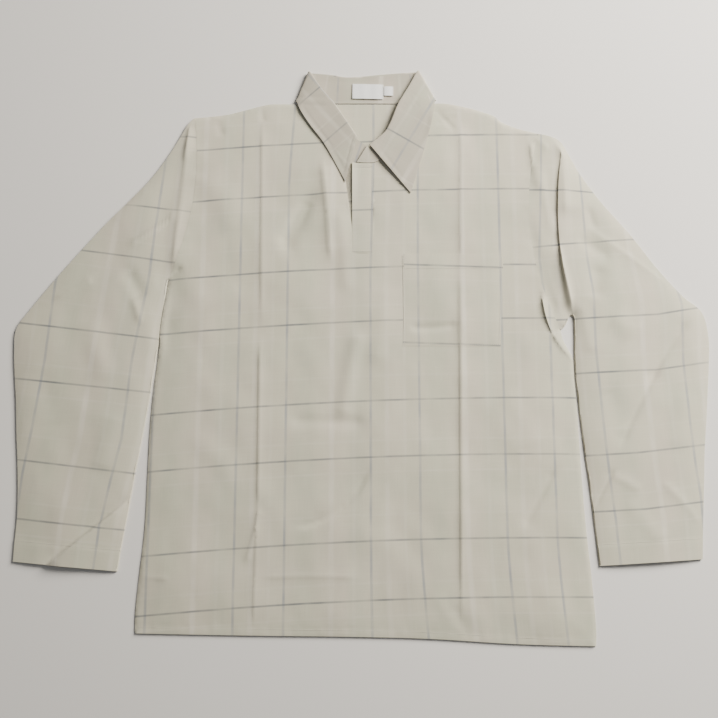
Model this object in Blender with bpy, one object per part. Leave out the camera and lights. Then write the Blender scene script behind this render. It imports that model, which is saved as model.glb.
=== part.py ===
"""A men's popover shirt with long sleeves, laid flat on its back with the front up.

Two body panels lie one on the other. Each sleeve is a tube of cloth pressed flat. The collar
stands up from the neck seam, turns over at its roll line and lies on the front. A hidden
placket, a patch pocket and two woven tabs lie on the panels that carry them.

Sizes are in millimetres. +X is the wearer's left, +Y runs from hem to collar and +Z is up.
The origin is under the middle of the shirt, on the surface that it lies on.
"""

import math
from collections import namedtuple

import bmesh
import bpy
from mathutils import Vector
from mathutils.geometry import delaunay_2d_cdt

MM = 0.001

# Cloth
WALL = 1.0
SEAM_GAP = 0.3
LAYER = WALL + SEAM_GAP
LOFT = 2.6
LOFT_RISE = 26.0
TAB_WALL = 0.8

# Mesh spacing
PANEL_STEP = 24.0
OUTLINE_STEP = 26.0

# Body: the outline from the hem's corner up one side, then along the shoulder to the neck
HEM = [(-294, -383), (-158, -385.5), (0, -387.5), (92, -390), (205, -396.5), (305, -399)]
SIDE_RIGHT = [(-294, -383), (-295, -360), (-292, -314), (-287, -252), (-286, -190), (-285, -116)]
SIDE_RIGHT += [(-281.5, -57), (-276, -9), (-275.5, 22), (-267, 90)]
SIDE_LEFT = [(305, -399), (306, -375), (303, -314), (298, -243), (295, -171), (292.5, -89)]
SIDE_LEFT += [(290.5, -50), (289.5, -22), (283, -7), (277, 6), (275, 18), (268, 28)]
SHOULDER_RIGHT = [(-238, 327.5), (-192, 333), (-141, 346.5), (-124, 349), (-90, 348.5)]
SHOULDER_LEFT = [(253, 304), (223, 312), (200, 322), (190, 331), (158, 342), (124, 349.5), (103, 350)]

# Armholes: from the underarm to the shoulder, with the seam bowed towards the body
Armhole = namedtuple("Armhole", "under tip bow")
ARMHOLE_RIGHT = Armhole((-267.5, 90), (-238, 327.5), 17.0)
ARMHOLE_LEFT = Armhole((268, 28), (253, 304), -25.0)

# Neck and placket
BACK_NECK_Y = 348.5
BACK_NECK_HALF = 84.0
PLACKET_TOP = 259.0
PLACKET_END = 127.0
SLIT_LEFT = -22.0
SLIT_RIGHT = 17.0
PLACKET_WIDTH = 29.0
UNDER_PLACKET_DEPTH = 2.6
PLACKET_DEPTH = 4.0

# Collar stations, from the front end on the wearer's right. Each gives the neck seam, the roll
# line and the leaf's outer edge, then the heights of the middle of the cloth at the stand's seam,
# at its roll, at the leaf's roll and at the leaf's outer edge.
Station = namedtuple("Station", "seam roll outer seam_z stand_z leaf_z outer_z")
STAND_END_RIGHT = Station((8, 259.5), (12, 284), None, 3.3, 3.7, None, None)
COLLAR_RIGHT = [
    Station((-20, 259.5), (-6, 296), (-22, 231), 3.9, 4.8, 7.4, 6.9),
    Station((-39, 285), (-20, 318), (-50, 284), 4.1, 5.0, 7.6, 6.6),
    Station((-57, 310), (-40, 348), (-72, 315), 4.3, 5.1, 7.4, 6.4),
    Station((-74, 333), (-59, 372), (-86, 337), 4.7, 5.1, 6.8, 6.2),
]
COLLAR_LEFT = [
    Station((88, 331), (69, 373), (101, 322), 4.7, 5.1, 7.0, 6.3),
    Station((68, 300), (54, 346), (92, 287), 4.5, 5.3, 8.0, 6.6),
    Station((46, 274), (42, 316), (81, 251), 4.7, 5.5, 8.4, 7.1),
    Station((17, 259.5), (23, 288), (70, 214), 5.0, 5.7, 8.6, 7.3),
]
STAND_END_LEFT = Station((-6, 259.5), (10, 286), None, 5.1, 5.6, None, None)

# At the back the leaf lies under the stand
Back = namedtuple("Back", "seam roll outer")
COLLAR_BACK = [
    Back((-50, 350), (-44, 393), (-52, 351)),
    Back((-15, 350), (-17, 389), (-15, 351)),
    Back((26, 350), (28, 393), (26, 351)),
    Back((62, 350), (58, 395.5), (64, 351)),
]
LEAF_UNDER = WALL / 2
STAND_UNDER = LEAF_UNDER + LAYER

# The collar turns over at each side about a line that runs from the roll to the neck seam
Corner = namedtuple("Corner", "seam roll outer")
CORNER_RIGHT = Corner((-86, 350.5), (-73.5, 393), (-91, 352.5))
CORNER_LEFT = Corner((99.5, 352), (80.5, 394.5), (105, 354))
CORNER_LEAF_RADIUS = 2.9
CORNER_STAND_RADIUS = CORNER_LEAF_RADIUS - LAYER
CORNER_STEPS = 4
LEAF_SHARES = (0.04, 0.3, 0.65, 1)
STAND_SHARES = (0, 0.5, 1)
ROLL_CURL = 1.4

# Sleeve sections from the armhole to the hem. Each runs across the sleeve from its inner edge to
# its outer edge. bow curves a section towards the wearer's left, top is the height of the upper
# cloth along its middle, and slip moves the upper cloth towards the hem, so that a fold laps over.
Section = namedtuple("Section", "inner outer bow top slip")
SLEEVE_LEFT = [
    Section((268, 28), (253, 304), -25, 4.7, 0),
    Section((276, 29.5), (266, 301), -22, 4.6, 0),
    Section((284, 33), (277, 297), -17, 4.4, 0),
    Section((288.5, 36), (283, 292.5), -14, 4.3, 3.0),
    Section((290.5, 37), (285.5, 290), -13.5, 6.4, 2.5),
    Section((292, 36), (287, 288), -13, 8.6, -0.5),
    Section((293, 32), (290, 282), -6, 9.0, 0),
    Section((293, 22), (298, 266), 1, 8.7, 0),
    Section((293, 10), (310, 243), 10, 8.2, 0),
    Section((292, -12), (337, 203), 15, 7.4, 0),
    Section((292, -31), (376, 155), 16, 7.0, 0),
    Section((292.5, -50), (412, 105), 13, 6.6, 0),
    Section((294, -70), (445, 66), 9, 6.4, 0),
    Section((295.5, -92), (470, 43), 6, 6.2, 0),
    Section((297.5, -116), (477, 8), 3, 6.0, 0),
    Section((299.5, -138), (475, -30), 2, 6.0, 0),
    Section((301.5, -160), (471, -67), 1, 5.8, 0),
    Section((304, -182), (467, -105), 0, 5.8, 0),
    Section((306, -204), (462, -145), 0, 5.6, 0),
    Section((308, -225), (459, -182), 0, 5.6, 0),
    Section((309.5, -245), (456, -216), 0, 5.4, 0),
    Section((311, -263), (453.5, -245), 0, 5.2, 0),
    Section((312.5, -281), (451.5, -269), 0, 5.0, 0),
    Section((314, -297.5), (450, -289), 0, 4.6, 0),
]
SLEEVE_RIGHT = [
    Section((-267.5, 90), (-238, 327.5), 17, 4.9, 0),
    Section((-271, 82), (-243, 323), -5, 4.8, 0),
    Section((-273, 66), (-249, 315), -11, 4.8, 0),
    Section((-275, 44), (-257, 300), -16, 5.2, 0),
    Section((-277, 22), (-272, 273), -20, 6.0, 0),
    Section((-278, 2), (-295, 239), -22, 6.4, 0),
    Section((-279.5, -16), (-324, 206), -18, 6.4, 0),
    Section((-281.5, -34), (-356, 172), -11, 6.2, 0),
    Section((-284, -52), (-390, 132), -7, 6.2, 0),
    Section((-286, -71), (-425, 89), -4, 6.0, 0),
    Section((-289, -91), (-456, 48), -2, 6.0, 0),
    Section((-292, -111), (-474, 20), 0, 6.0, 0),
    Section((-295, -131), (-475, -12), 0, 6.0, 0),
    Section((-298, -151), (-472, -45), 0, 5.8, 0),
    Section((-301.5, -172), (-468, -82), 0, 5.8, 0),
    Section((-304.5, -194), (-465, -120), 0, 5.8, 0),
    Section((-308, -217), (-461, -160), 0, 5.6, 0),
    Section((-311.5, -240), (-458, -200), 0, 5.4, 0),
    Section((-315, -263), (-457, -237), 0, 5.2, 0),
    Section((-318, -284), (-458, -266), 0, 5.0, 0),
    Section((-320.5, -304.5), (-458.5, -292), 0, 4.6, 0),
]
SLEEVE_EDGE_RADIUS = 1.35
SLEEVE_TOP_CELLS = 14
SLEEVE_UNDER_CELLS = 5
SLEEVE_RISE = 16.0
EDGE_CLEAR = 1.6
MITRE_LEAST = 0.5

# Folds: a ridge (height above 0) or a trough along a line, with the line's own sideways bend
Fold = namedtuple("Fold", "start end bend width height")
FRONT_FOLDS = [
    Fold((-139, 335), (-136, -270), 0, 9, 1.4),
    Fold((141, 330), (134, -380), 0, 9, 1.6),
    Fold((-38, 262), (-30, 110), 3, 11, 1.5),
    Fold((-60, 205), (-92, 135), 0, 12, -1.2),
    Fold((2, 25), (-16, -92), -5, 13, 1.3),
    Fold((-94, -90), (-12, -92), 0, 12, -1.1),
    Fold((12, -160), (-82, -232), 22, 14, 1.5),
    Fold((-139, -272), (-152, -340), 0, 14, 1.1),
    Fold((264, -165), (218, -250), 0, 14, -1.0),
    Fold((-277, 15), (-150, 78), 8, 14, 0.9),
    Fold((108, -330), (128, -392), 0, 13, 0.9),
    Fold((250, 70), (268, -8), 0, 6, -1.2),
    Fold((262, 30), (284, -16), 0, 8, 1.2),
]
SLEEVE_LEFT_FOLDS = [
    Fold((308, 150), (428, 85), 4, 10, 1.3),
    Fold((455, 25), (352, -150), -6, 13, 1.6),
    Fold((318, -235), (345, -185), 0, 9, -0.9),
    Fold((345, -190), (440, -250), 6, 12, 0.9),
    Fold((330, 95), (322, 45), 0, 16, -1.0),
]
SLEEVE_RIGHT_FOLDS = [
    Fold((-262, 190), (-345, 140), 4, 9, 1.1),
    Fold((-385, 105), (-440, 55), 0, 12, 1.0),
    Fold((-300, 110), (-318, 40), -4, 16, -1.3),
    Fold((-312, -212), (-404, -290), 0, 8, 1.5),
    Fold((-290, 60), (-286, -50), 0, 12, 0.8),
]

# Pocket, label and size tab
POCKET = [(60, 126), (198, 126), (191, -5), (57, -5)]
LABEL = [(-12.5, 359.5), (32, 358.5), (32.3, 378), (-12.3, 379)]
SIZE_LABEL = [(32.9, 361.5), (46.3, 361.2), (46.5, 375.3), (33.1, 375.6)]

# Finish: colour in linear light and roughness
Finish = namedtuple("Finish", "colour roughness")
SHIRTING = Finish((0.53, 0.50, 0.43, 1.0), 0.85)
COLLAR_CLOTH = Finish((0.49, 0.46, 0.39, 1.0), 0.85)
WOVEN_TAB = Finish((0.80, 0.80, 0.78, 1.0), 0.7)


def clear_scene():
    for obj in list(bpy.data.objects):
        bpy.data.objects.remove(obj)


def material(name, finish):
    made = bpy.data.materials.new(name)
    made.use_nodes = True
    shader = made.node_tree.nodes["Principled BSDF"]
    shader.inputs["Base Color"].default_value = finish.colour
    shader.inputs["Roughness"].default_value = finish.roughness
    shader.inputs["Metallic"].default_value = 0.0
    return made


def solid(name, points, faces, finish):
    """One closed body from points in millimetres, with its faces turned outwards."""
    mesh = bpy.data.meshes.new(name)
    mesh.from_pydata([Vector(p) * MM for p in points], [], faces)
    shape = bmesh.new()
    shape.from_mesh(mesh)
    bmesh.ops.recalc_face_normals(shape, faces=shape.faces)
    if shape.calc_volume(signed=True) < 0:
        bmesh.ops.reverse_faces(shape, faces=shape.faces)
    shape.to_mesh(mesh)
    shape.free()
    mesh.shade_smooth()
    mesh.set_sharp_from_angle(angle=math.radians(50))
    mesh.materials.append(finish)
    obj = bpy.data.objects.new(name, mesh)
    bpy.context.scene.collection.objects.link(obj)
    return obj


def smooth_path(points, step):
    """Points along a Catmull-Rom curve through these, about one step apart."""
    path = []
    last = len(points) - 1
    for i in range(last):
        before = Vector(points[max(i - 1, 0)])
        start = Vector(points[i])
        end = Vector(points[i + 1])
        after = Vector(points[min(i + 2, last)])
        pieces = max(1, round((end - start).length / step))
        for k in range(pieces):
            t = k / pieces
            curve = 2 * start + (end - before) * t
            curve += (2 * before - 5 * start + 4 * end - after) * t**2
            curve += (3 * start - before - 3 * end + after) * t**3
            path.append(curve / 2)
    path.append(Vector(points[-1]))
    return path


def distance_to_path(point, path):
    best = math.inf
    for start, end in zip(path, path[1:]):
        along = end - start
        t = (point - start).dot(along) / max(along.length_squared, 1e-9)
        best = min(best, (point - start - along * min(max(t, 0), 1)).length)
    return best


def inside(point, outline):
    crossings = False
    for start, end in zip(outline, outline[1:] + outline[:1]):
        if (start[1] > point[1]) != (end[1] > point[1]):
            level = (point[1] - start[1]) / (end[1] - start[1])
            if point[0] < start[0] + level * (end[0] - start[0]):
                crossings = not crossings
    return crossings


def fold_height(point, folds):
    """The sum of the folds here. Each falls away across its width and fades to nothing at both ends."""
    height = 0.0
    for fold in folds:
        start = Vector(fold.start)
        along = Vector(fold.end) - start
        t = (point - start).dot(along) / along.length_squared
        if not 0 < t < 1:
            continue
        sideways = Vector((-along.y, along.x)).normalized()
        across = (point - start).dot(sideways) - fold.bend * 4 * t * (1 - t)
        fade = min(1, 4 * math.sin(math.pi * t) ** 2)
        height += fold.height * fade * math.exp(-((across / fold.width) ** 2))
    return height


def armhole_point(armhole, t):
    """The armhole seam at a share t of the way from the underarm to the shoulder."""
    under = Vector(armhole.under)
    along = Vector(armhole.tip) - under
    sideways = Vector((along.y, -along.x)).normalized()
    return under + along * t + sideways * armhole.bow * 4 * t * (1 - t)


def cross_shares():
    """Shares of the way across a sleeve, closer together near its edges."""
    cells = SLEEVE_TOP_CELLS
    return [0.5 - 0.5 * math.cos(math.pi * k / cells) for k in range(cells + 1)]


def armhole_path(armhole):
    """The body's edge at the armhole, a gap away from the sleeve's first ring."""
    inward = Vector((-math.copysign(SEAM_GAP, armhole.under[0]), 0))
    return [armhole_point(armhole, share) + inward for share in cross_shares()]


def body_edges():
    """The closed edges of the body, where the front and the back are sewn or turned together."""
    right = smooth_path(SIDE_RIGHT, OUTLINE_STEP)
    left = smooth_path(SIDE_LEFT, OUTLINE_STEP)
    hem = smooth_path(HEM, OUTLINE_STEP)
    shoulder_right = smooth_path(SHOULDER_RIGHT, OUTLINE_STEP)
    shoulder_left = smooth_path(SHOULDER_LEFT, OUTLINE_STEP)
    return hem, right, left, shoulder_right, shoulder_left


def body_outline(neck):
    """The panel's outline, anticlockwise from the hem's corner on the wearer's right."""
    hem, right, left, shoulder_right, shoulder_left = body_edges()
    outline = hem + left[1:-1] + armhole_path(ARMHOLE_LEFT)
    outline += shoulder_left[1:] + neck + shoulder_right[:0:-1]
    outline += armhole_path(ARMHOLE_RIGHT)[::-1] + right[-2:0:-1]
    return [Vector(p) for p in outline]


def front_neck():
    """The front's neck edge, from the wearer's left to the right, round the placket's slit."""
    left = [Vector(station.seam) + Vector((SEAM_GAP, -SEAM_GAP)) for station in COLLAR_LEFT]
    right = [Vector(station.seam) - Vector((SEAM_GAP, SEAM_GAP)) for station in COLLAR_RIGHT]
    left[-1].x = SLIT_RIGHT
    right[0].x = SLIT_LEFT
    slit = [Vector((SLIT_RIGHT, PLACKET_END)), Vector((SLIT_LEFT, PLACKET_END))]
    return left + slit + right


def triangulate(outline, guides, columns, rows, margin):
    """Flat points and faces inside an outline: a lattice that keeps clear of the outline and guides."""
    points = list(outline)
    loop = [list(range(len(points)))]
    edges = []
    for guide in guides:
        first = len(points)
        points.extend(Vector(p) for p in guide)
        count = len(guide)
        edges.extend((first + k, first + (k + 1) % count) for k in range(count))
    rings = [outline + outline[:1]] + [[Vector(p) for p in guide] + [Vector(guide[0])] for guide in guides]
    for x in columns:
        for y in rows:
            point = Vector((x, y))
            if inside(point, outline) and min(distance_to_path(point, ring) for ring in rings) > margin:
                points.append(point)
    flat, _, faces, _, _, _ = delaunay_2d_cdt(points, edges, loop, 1, 1e-4)
    return flat, faces


def panel(name, flat, faces, under, wall, finish):
    """A panel of cloth over flat points: its lower face at a height, and its upper one a wall above."""
    count = len(flat)
    heights = [under(point) for point in flat]
    points = [(p.x, p.y, z) for p, z in zip(flat, heights)]
    points += [(p.x, p.y, z + wall) for p, z in zip(flat, heights)]
    edges = {}
    for face in faces:
        for a, b in zip(face, face[1:] + face[:1]):
            edges[(a, b)] = (b, a) in edges or edges.get((a, b), False)
    borders = [(a, b) for a, b in edges if (b, a) not in edges]
    shell = [tuple(reversed(face)) for face in faces]
    shell += [tuple(k + count for k in face) for face in faces]
    shell += [(a, b, b + count, a + count) for a, b in borders]
    return solid(name, points, shell, finish)


def patch(flat, faces, outline):
    """The part of a triangulated panel that lies inside an outline, with its own numbering."""
    chosen = []
    for face in faces:
        centre = sum((flat[k] for k in face), Vector((0, 0))) / len(face)
        if inside(centre, outline):
            chosen.append(face)
    used = sorted({k for face in chosen for k in face})
    number = {old: new for new, old in enumerate(used)}
    return [flat[k] for k in used], [[number[k] for k in face] for face in chosen]


def spread(start, stop, step, extra=()):
    """Evenly spaced values, with a few more where a crease needs them."""
    count = round((stop - start) / step)
    values = [start + (stop - start) * k / count for k in range(count + 1)]
    kept = [v for v in values if all(abs(v - e) > step / 4 for e in extra)]
    return sorted(kept + list(extra))


def front_height():
    """The lower face of the front: it lies on the back at its closed edges and lofts between them."""
    hem, right, left, shoulder_right, shoulder_left = body_edges()
    closed = [hem, right, left, shoulder_right, shoulder_left]

    def under(point):
        edge = min(distance_to_path(point, path) for path in closed)
        rise = 1 - math.exp(-edge / LOFT_RISE)
        return LAYER + max(0, LOFT * rise + fold_height(point, FRONT_FOLDS) * rise)

    return under


def make_body(shirting):
    back_neck = [(BACK_NECK_HALF, BACK_NECK_Y + 1), (40, BACK_NECK_Y), (0, BACK_NECK_Y)]
    back_neck += [(-40, BACK_NECK_Y), (-BACK_NECK_HALF + 12, BACK_NECK_Y)]
    back_outline = body_outline([Vector(p) for p in back_neck])
    flat, faces = triangulate(back_outline, [], [], [], PANEL_STEP / 2)
    panel("back", flat, faces, lambda point: 0.0, WALL, shirting)

    under = front_height()
    creases = (-150, -138, -126, 124, 137, 150)
    columns = spread(-300, 300, PANEL_STEP, creases)
    rows = spread(-390, 345, PANEL_STEP)
    flat, faces = triangulate(body_outline(front_neck()), [POCKET], columns, rows, PANEL_STEP / 3)
    panel("front", flat, faces, under, WALL, shirting)

    pocket_flat, pocket_faces = patch(flat, faces, POCKET)
    panel("pocket", pocket_flat, pocket_faces, lambda p: under(p) + LAYER, WALL, shirting)


def strip(left, right, bottom, top):
    """Flat points and faces of a straight strip, with a few crosswise rows."""
    outline = [Vector(p) for p in ((left, bottom), (right, bottom), (right, top), (left, top))]
    rows = spread(bottom, top, PANEL_STEP)[1:-1]
    middle = (left + right) / 2
    return triangulate(outline, [], [middle], rows, PANEL_STEP / 3)


def make_placket(shirting):
    bottom = PLACKET_END + SEAM_GAP
    top = PLACKET_TOP - SEAM_GAP
    left = SLIT_LEFT + SEAM_GAP
    flat, faces = strip(left, left + PLACKET_WIDTH, bottom, top)
    panel("under_placket", flat, faces, lambda point: UNDER_PLACKET_DEPTH, WALL, shirting)
    right = SLIT_RIGHT - SEAM_GAP
    flat, faces = strip(right - PLACKET_WIDTH, right, bottom, top)
    panel("placket", flat, faces, lambda point: PLACKET_DEPTH, WALL, shirting)


def grid_normals(grid, closed):
    """The normal at each point of a grid of rows. closed joins the last column to the first."""
    rows = len(grid)
    columns = len(grid[0])
    normals = []
    for i in range(rows):
        line = []
        for j in range(columns):
            ahead = grid[min(i + 1, rows - 1)][j] - grid[max(i - 1, 0)][j]
            after = (j + 1) % columns if closed else min(j + 1, columns - 1)
            before = (j - 1) % columns if closed else max(j - 1, 0)
            line.append(ahead.cross(grid[i][after] - grid[i][before]).normalized())
        normals.append(line)
    return normals


def grid_shell(name, outer, inner, closed, finish):
    """A closed body between two grids of the same size, with rims along the open edges."""
    rows = len(outer)
    columns = len(outer[0])
    points = [p for line in outer for p in line] + [p for line in inner for p in line]
    half = rows * columns
    faces = []
    spans = columns if closed else columns - 1
    for i in range(rows - 1):
        for j in range(spans):
            a = i * columns + j
            b = i * columns + (j + 1) % columns
            c = b + columns
            d = a + columns
            faces += [(a, b, c, d), (half + d, half + c, half + b, half + a)]
    for i in (0, rows - 1):
        for j in range(spans):
            a = i * columns + j
            b = i * columns + (j + 1) % columns
            faces.append((a, b, half + b, half + a) if i else (b, a, half + a, half + b))
    if not closed:
        for i in range(rows - 1):
            for j in (0, columns - 1):
                a = i * columns + j
                d = a + columns
                faces.append((a, d, half + d, half + a) if j else (d, a, half + a, half + d))
    return solid(name, points, faces, finish)


def raised(plan, height):
    return Vector((plan[0], plan[1], height))


def edge_normal(edge, index, side):
    """The flat direction square to an edge of the sleeve at one of its sections, into the sleeve."""
    along = edge[min(index + 1, len(edge) - 1)] - edge[max(index - 1, 0)]
    return Vector((-along.y, along.x)).normalized() * side


def kept_inside(plan, edge, side):
    """A point near an edge of the sleeve, moved in to stand clear of the cloth that turns over there."""
    for start, end in zip(edge, edge[1:]):
        along = end - start
        normal = Vector((-along.y, along.x)).normalized() * side
        depth = (plan - start).dot(normal)
        beside = 0 <= (plan - start).dot(along) <= along.length_squared
        if beside and abs(depth) < EDGE_CLEAR:
            plan = plan + normal * (EDGE_CLEAR - depth)
    return plan


def sleeve_ring(sections, index, folds, inset):
    """One flattened ring of the sleeve, up over the upper cloth and back along the lower one.

    The upper cloth rises away from the sleeve's two edges. inset is 0 for the outer surface and
    the wall's thickness for the inner one.
    """
    section = sections[index]
    inner_edge = [Vector(row.inner) for row in sections]
    outer_edge = [Vector(row.outer) for row in sections]
    across = outer_edge[index] - inner_edge[index]
    direction = across.normalized()
    sideways = Vector((direction.y, -direction.x))
    side = math.copysign(1, section.inner[0])
    bend = SLEEVE_EDGE_RADIUS - inset
    ring = []

    def on_section(share):
        return inner_edge[index] + across * share + sideways * section.bow * 4 * share * (1 - share)

    def turn_edge(end, normal, angles):
        for angle in angles:
            turn = math.radians(angle)
            plan = end + normal * (SLEEVE_EDGE_RADIUS - bend * math.cos(turn))
            ring.append(raised(plan, SLEEVE_EDGE_RADIUS + bend * math.sin(turn)))

    into_inner = edge_normal(inner_edge, index, side)
    into_outer = edge_normal(outer_edge, index, -side)
    if index == 0:
        into_outer = (on_section(cross_shares()[-2]) - outer_edge[0]).normalized()
    turn_edge(inner_edge[index], into_inner, (0, 50))
    for share in cross_shares()[1:-1]:
        plan = kept_inside(on_section(share), inner_edge, side)
        clear = min(distance_to_path(plan, inner_edge), distance_to_path(plan, outer_edge))
        lift = max(0, section.top - 2 * SLEEVE_EDGE_RADIUS + fold_height(plan, folds))
        height = 2 * SLEEVE_EDGE_RADIUS + lift * (1 - math.exp(-clear / SLEEVE_RISE))
        slip = section.slip * min(1, max(0, 4 * share - 0.5), 6 * (1 - share))
        ring.append(raised(plan + sideways * slip * side, height - inset))
    turn_edge(outer_edge[index], into_outer, (50, 0, -50))
    for k in range(SLEEVE_UNDER_CELLS - 1, 0, -1):
        ring.append(raised(on_section(k / SLEEVE_UNDER_CELLS), inset))
    turn_edge(inner_edge[index], into_inner, (-50,))
    return ring


def mitre(grid, row, column):
    """The way out of the cloth, long enough to keep a wall's thickness where the cloth turns sharply."""
    across = grid[row][column + 1] - grid[row][column - 1]
    before = (grid[row][column] - grid[row - 1][column]).cross(across).normalized()
    after = (grid[row + 1][column] - grid[row][column]).cross(across).normalized()
    return (before + after) / max(MITRE_LEAST, 1 + before.dot(after))


def make_sleeve(name, sections, folds, shirting):
    """A tube of cloth. Away from its edges, the upper cloth's thickness is square to its surface."""
    outer = [sleeve_ring(sections, index, folds, 0) for index in range(len(sections))]
    inner = [sleeve_ring(sections, index, folds, WALL) for index in range(len(sections))]
    side = math.copysign(1, sections[0].inner[0])
    for i in range(1, len(sections) - 1):
        for k in range(3, SLEEVE_TOP_CELLS - 2):
            weight = min(1, (min(k, SLEEVE_TOP_CELLS - k) - 2) / 2)
            square = outer[i][k + 1] - mitre(outer, i, k + 1) * WALL * side
            inner[i][k + 1] = inner[i][k + 1].lerp(square, weight)
    grid_shell(name, outer, inner, True, shirting)


def thick_sheet(name, grid, wall, finish):
    """A sheet of cloth with half its wall on each side of a grid of points."""
    normals = grid_normals(grid, closed=False)
    upper = [[p + n * wall / 2 for p, n in zip(line, turned)] for line, turned in zip(grid, normals)]
    lower = [[p - n * wall / 2 for p, n in zip(line, turned)] for line, turned in zip(grid, normals)]
    return grid_shell(name, upper, lower, False, finish)


def stand_line(station):
    """Points across the stand, from the neck seam to just inside the roll."""
    seam = Vector(station.seam)
    roll = Vector(station.roll)
    edge = roll - (roll - seam).normalized() * (ROLL_CURL + WALL / 2)
    climb = station.stand_z - station.seam_z
    return [raised(seam.lerp(edge, share), station.seam_z + climb * share) for share in STAND_SHARES]


def leaf_line(station):
    """Points across the leaf, from its curl at the roll to its outer edge."""
    roll = Vector(station.roll)
    outer = Vector(station.outer)
    inward = (roll - outer).normalized()
    middle = (station.stand_z + station.leaf_z) / 2
    line = [raised(roll, station.stand_z), raised(roll + inward * ROLL_CURL / 2, middle)]
    climb = station.outer_z - station.leaf_z
    line += [raised(roll.lerp(outer, share), station.leaf_z + climb * share) for share in LEAF_SHARES]
    return line


def back_station(back):
    under = (STAND_UNDER, STAND_UNDER, LEAF_UNDER, LEAF_UNDER)
    return Station(back.seam, back.roll, back.outer, *under)


def corner_lines(corner, side):
    """Lines across the stand and the leaf as both turn over at the side of the neck, upper first."""
    seam, roll, outer = (Vector(point) for point in corner)
    along = (roll - outer).normalized()
    outward = Vector((-along.y, along.x)) * -side
    level = LEAF_UNDER + CORNER_LEAF_RADIUS
    lines = []
    for step in range(CORNER_STEPS + 1):
        angle = math.pi / 2 - math.pi * step / CORNER_STEPS

        def turned(plan, radius):
            spot = plan + outward * radius * math.cos(angle)
            return raised(spot, level + radius * math.sin(angle))

        edge = roll - (roll - seam).normalized() * (ROLL_CURL + WALL / 2)
        stand = [turned(seam.lerp(edge, share), CORNER_STAND_RADIUS) for share in STAND_SHARES]
        between = (CORNER_STAND_RADIUS + CORNER_LEAF_RADIUS) / 2
        leaf = [turned(roll, CORNER_STAND_RADIUS), turned(roll + along * ROLL_CURL / 2, between)]
        leaf += [turned(roll.lerp(outer, share), CORNER_LEAF_RADIUS) for share in LEAF_SHARES]
        lines.append((stand, leaf))
    return lines


def make_collar(cloth):
    right = corner_lines(CORNER_RIGHT, -1)
    left = corner_lines(CORNER_LEFT, 1)[::-1]
    back = [back_station(row) for row in COLLAR_BACK]

    stand = [stand_line(station) for station in [STAND_END_RIGHT] + COLLAR_RIGHT]
    stand += [line for line, _ in right]
    stand += [stand_line(station) for station in back]
    stand += [line for line, _ in left]
    stand += [stand_line(station) for station in COLLAR_LEFT + [STAND_END_LEFT]]
    thick_sheet("collar_stand", stand, WALL, cloth)

    leaf = [leaf_line(station) for station in COLLAR_RIGHT] + [line for _, line in right]
    leaf += [leaf_line(station) for station in back] + [line for _, line in left]
    leaf += [leaf_line(station) for station in COLLAR_LEFT]
    thick_sheet("collar_leaf", leaf, WALL, cloth)


def make_tabs(woven):
    under = STAND_UNDER + WALL / 2 + SEAM_GAP
    for name, outline in (("label", LABEL), ("size_label", SIZE_LABEL)):
        flat, faces = triangulate([Vector(p) for p in outline], [], [], [], 1)
        panel(name, flat, faces, lambda point: under, TAB_WALL, woven)


clear_scene()
shirting = material("shirting", SHIRTING)
collar_cloth = material("collar_cloth", COLLAR_CLOTH)
woven_tab = material("woven_tab", WOVEN_TAB)
make_body(shirting)
make_placket(shirting)
make_sleeve("sleeve_left", SLEEVE_LEFT, SLEEVE_LEFT_FOLDS, shirting)
make_sleeve("sleeve_right", SLEEVE_RIGHT, SLEEVE_RIGHT_FOLDS, shirting)
make_collar(collar_cloth)
make_tabs(woven_tab)
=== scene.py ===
"""The look of a men's popover shirt laid flat on its back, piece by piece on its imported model.

Lengths are in millimetres until a mesh or a shader takes them in metres. +X is the wearer's left,
+Y runs from hem to collar and +Z is up, with the origin under the middle of the shirt.
"""

import math
from collections import namedtuple

import bpy
import numpy as np
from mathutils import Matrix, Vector, noise
from mathutils.geometry import delaunay_2d_cdt
from mathutils.kdtree import KDTree


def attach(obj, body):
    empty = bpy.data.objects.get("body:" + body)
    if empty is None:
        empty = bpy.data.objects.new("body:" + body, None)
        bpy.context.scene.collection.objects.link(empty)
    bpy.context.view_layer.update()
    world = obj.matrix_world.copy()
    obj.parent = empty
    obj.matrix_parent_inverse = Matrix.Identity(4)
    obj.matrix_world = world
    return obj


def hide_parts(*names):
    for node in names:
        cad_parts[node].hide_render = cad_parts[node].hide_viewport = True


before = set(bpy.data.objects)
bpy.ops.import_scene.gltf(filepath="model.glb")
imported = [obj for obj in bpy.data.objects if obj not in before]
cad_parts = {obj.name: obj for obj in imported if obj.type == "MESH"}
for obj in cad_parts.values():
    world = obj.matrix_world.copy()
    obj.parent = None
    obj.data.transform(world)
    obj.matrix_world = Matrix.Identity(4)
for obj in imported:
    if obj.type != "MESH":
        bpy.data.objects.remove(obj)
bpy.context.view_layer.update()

# The setting. The shirt lies on a plain pale surface under a large soft light from the upper
# right, with a fill overhead. The camera stands over the hem side, 9 degrees off straight down.
MM = 0.001
FLOOR_SIZE = 40.0
FLOOR_DROP = 0.0003
LENS_MM = 42.1
CAMERA_TARGET = Vector((-0.0028, -0.0216, 0.0))
CAMERA_OFFSET = Vector((0.0, -0.180, 1.136))


def colour(code):
    """A colour from its sRGB hex code, in the linear light that shaders use."""
    parts = [int(code[k : k + 2], 16) / 255 for k in (0, 2, 4)]
    linear = [p / 12.92 if p <= 0.04045 else ((p + 0.055) / 1.055) ** 2.4 for p in parts]
    return (*linear, 1.0)


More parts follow.
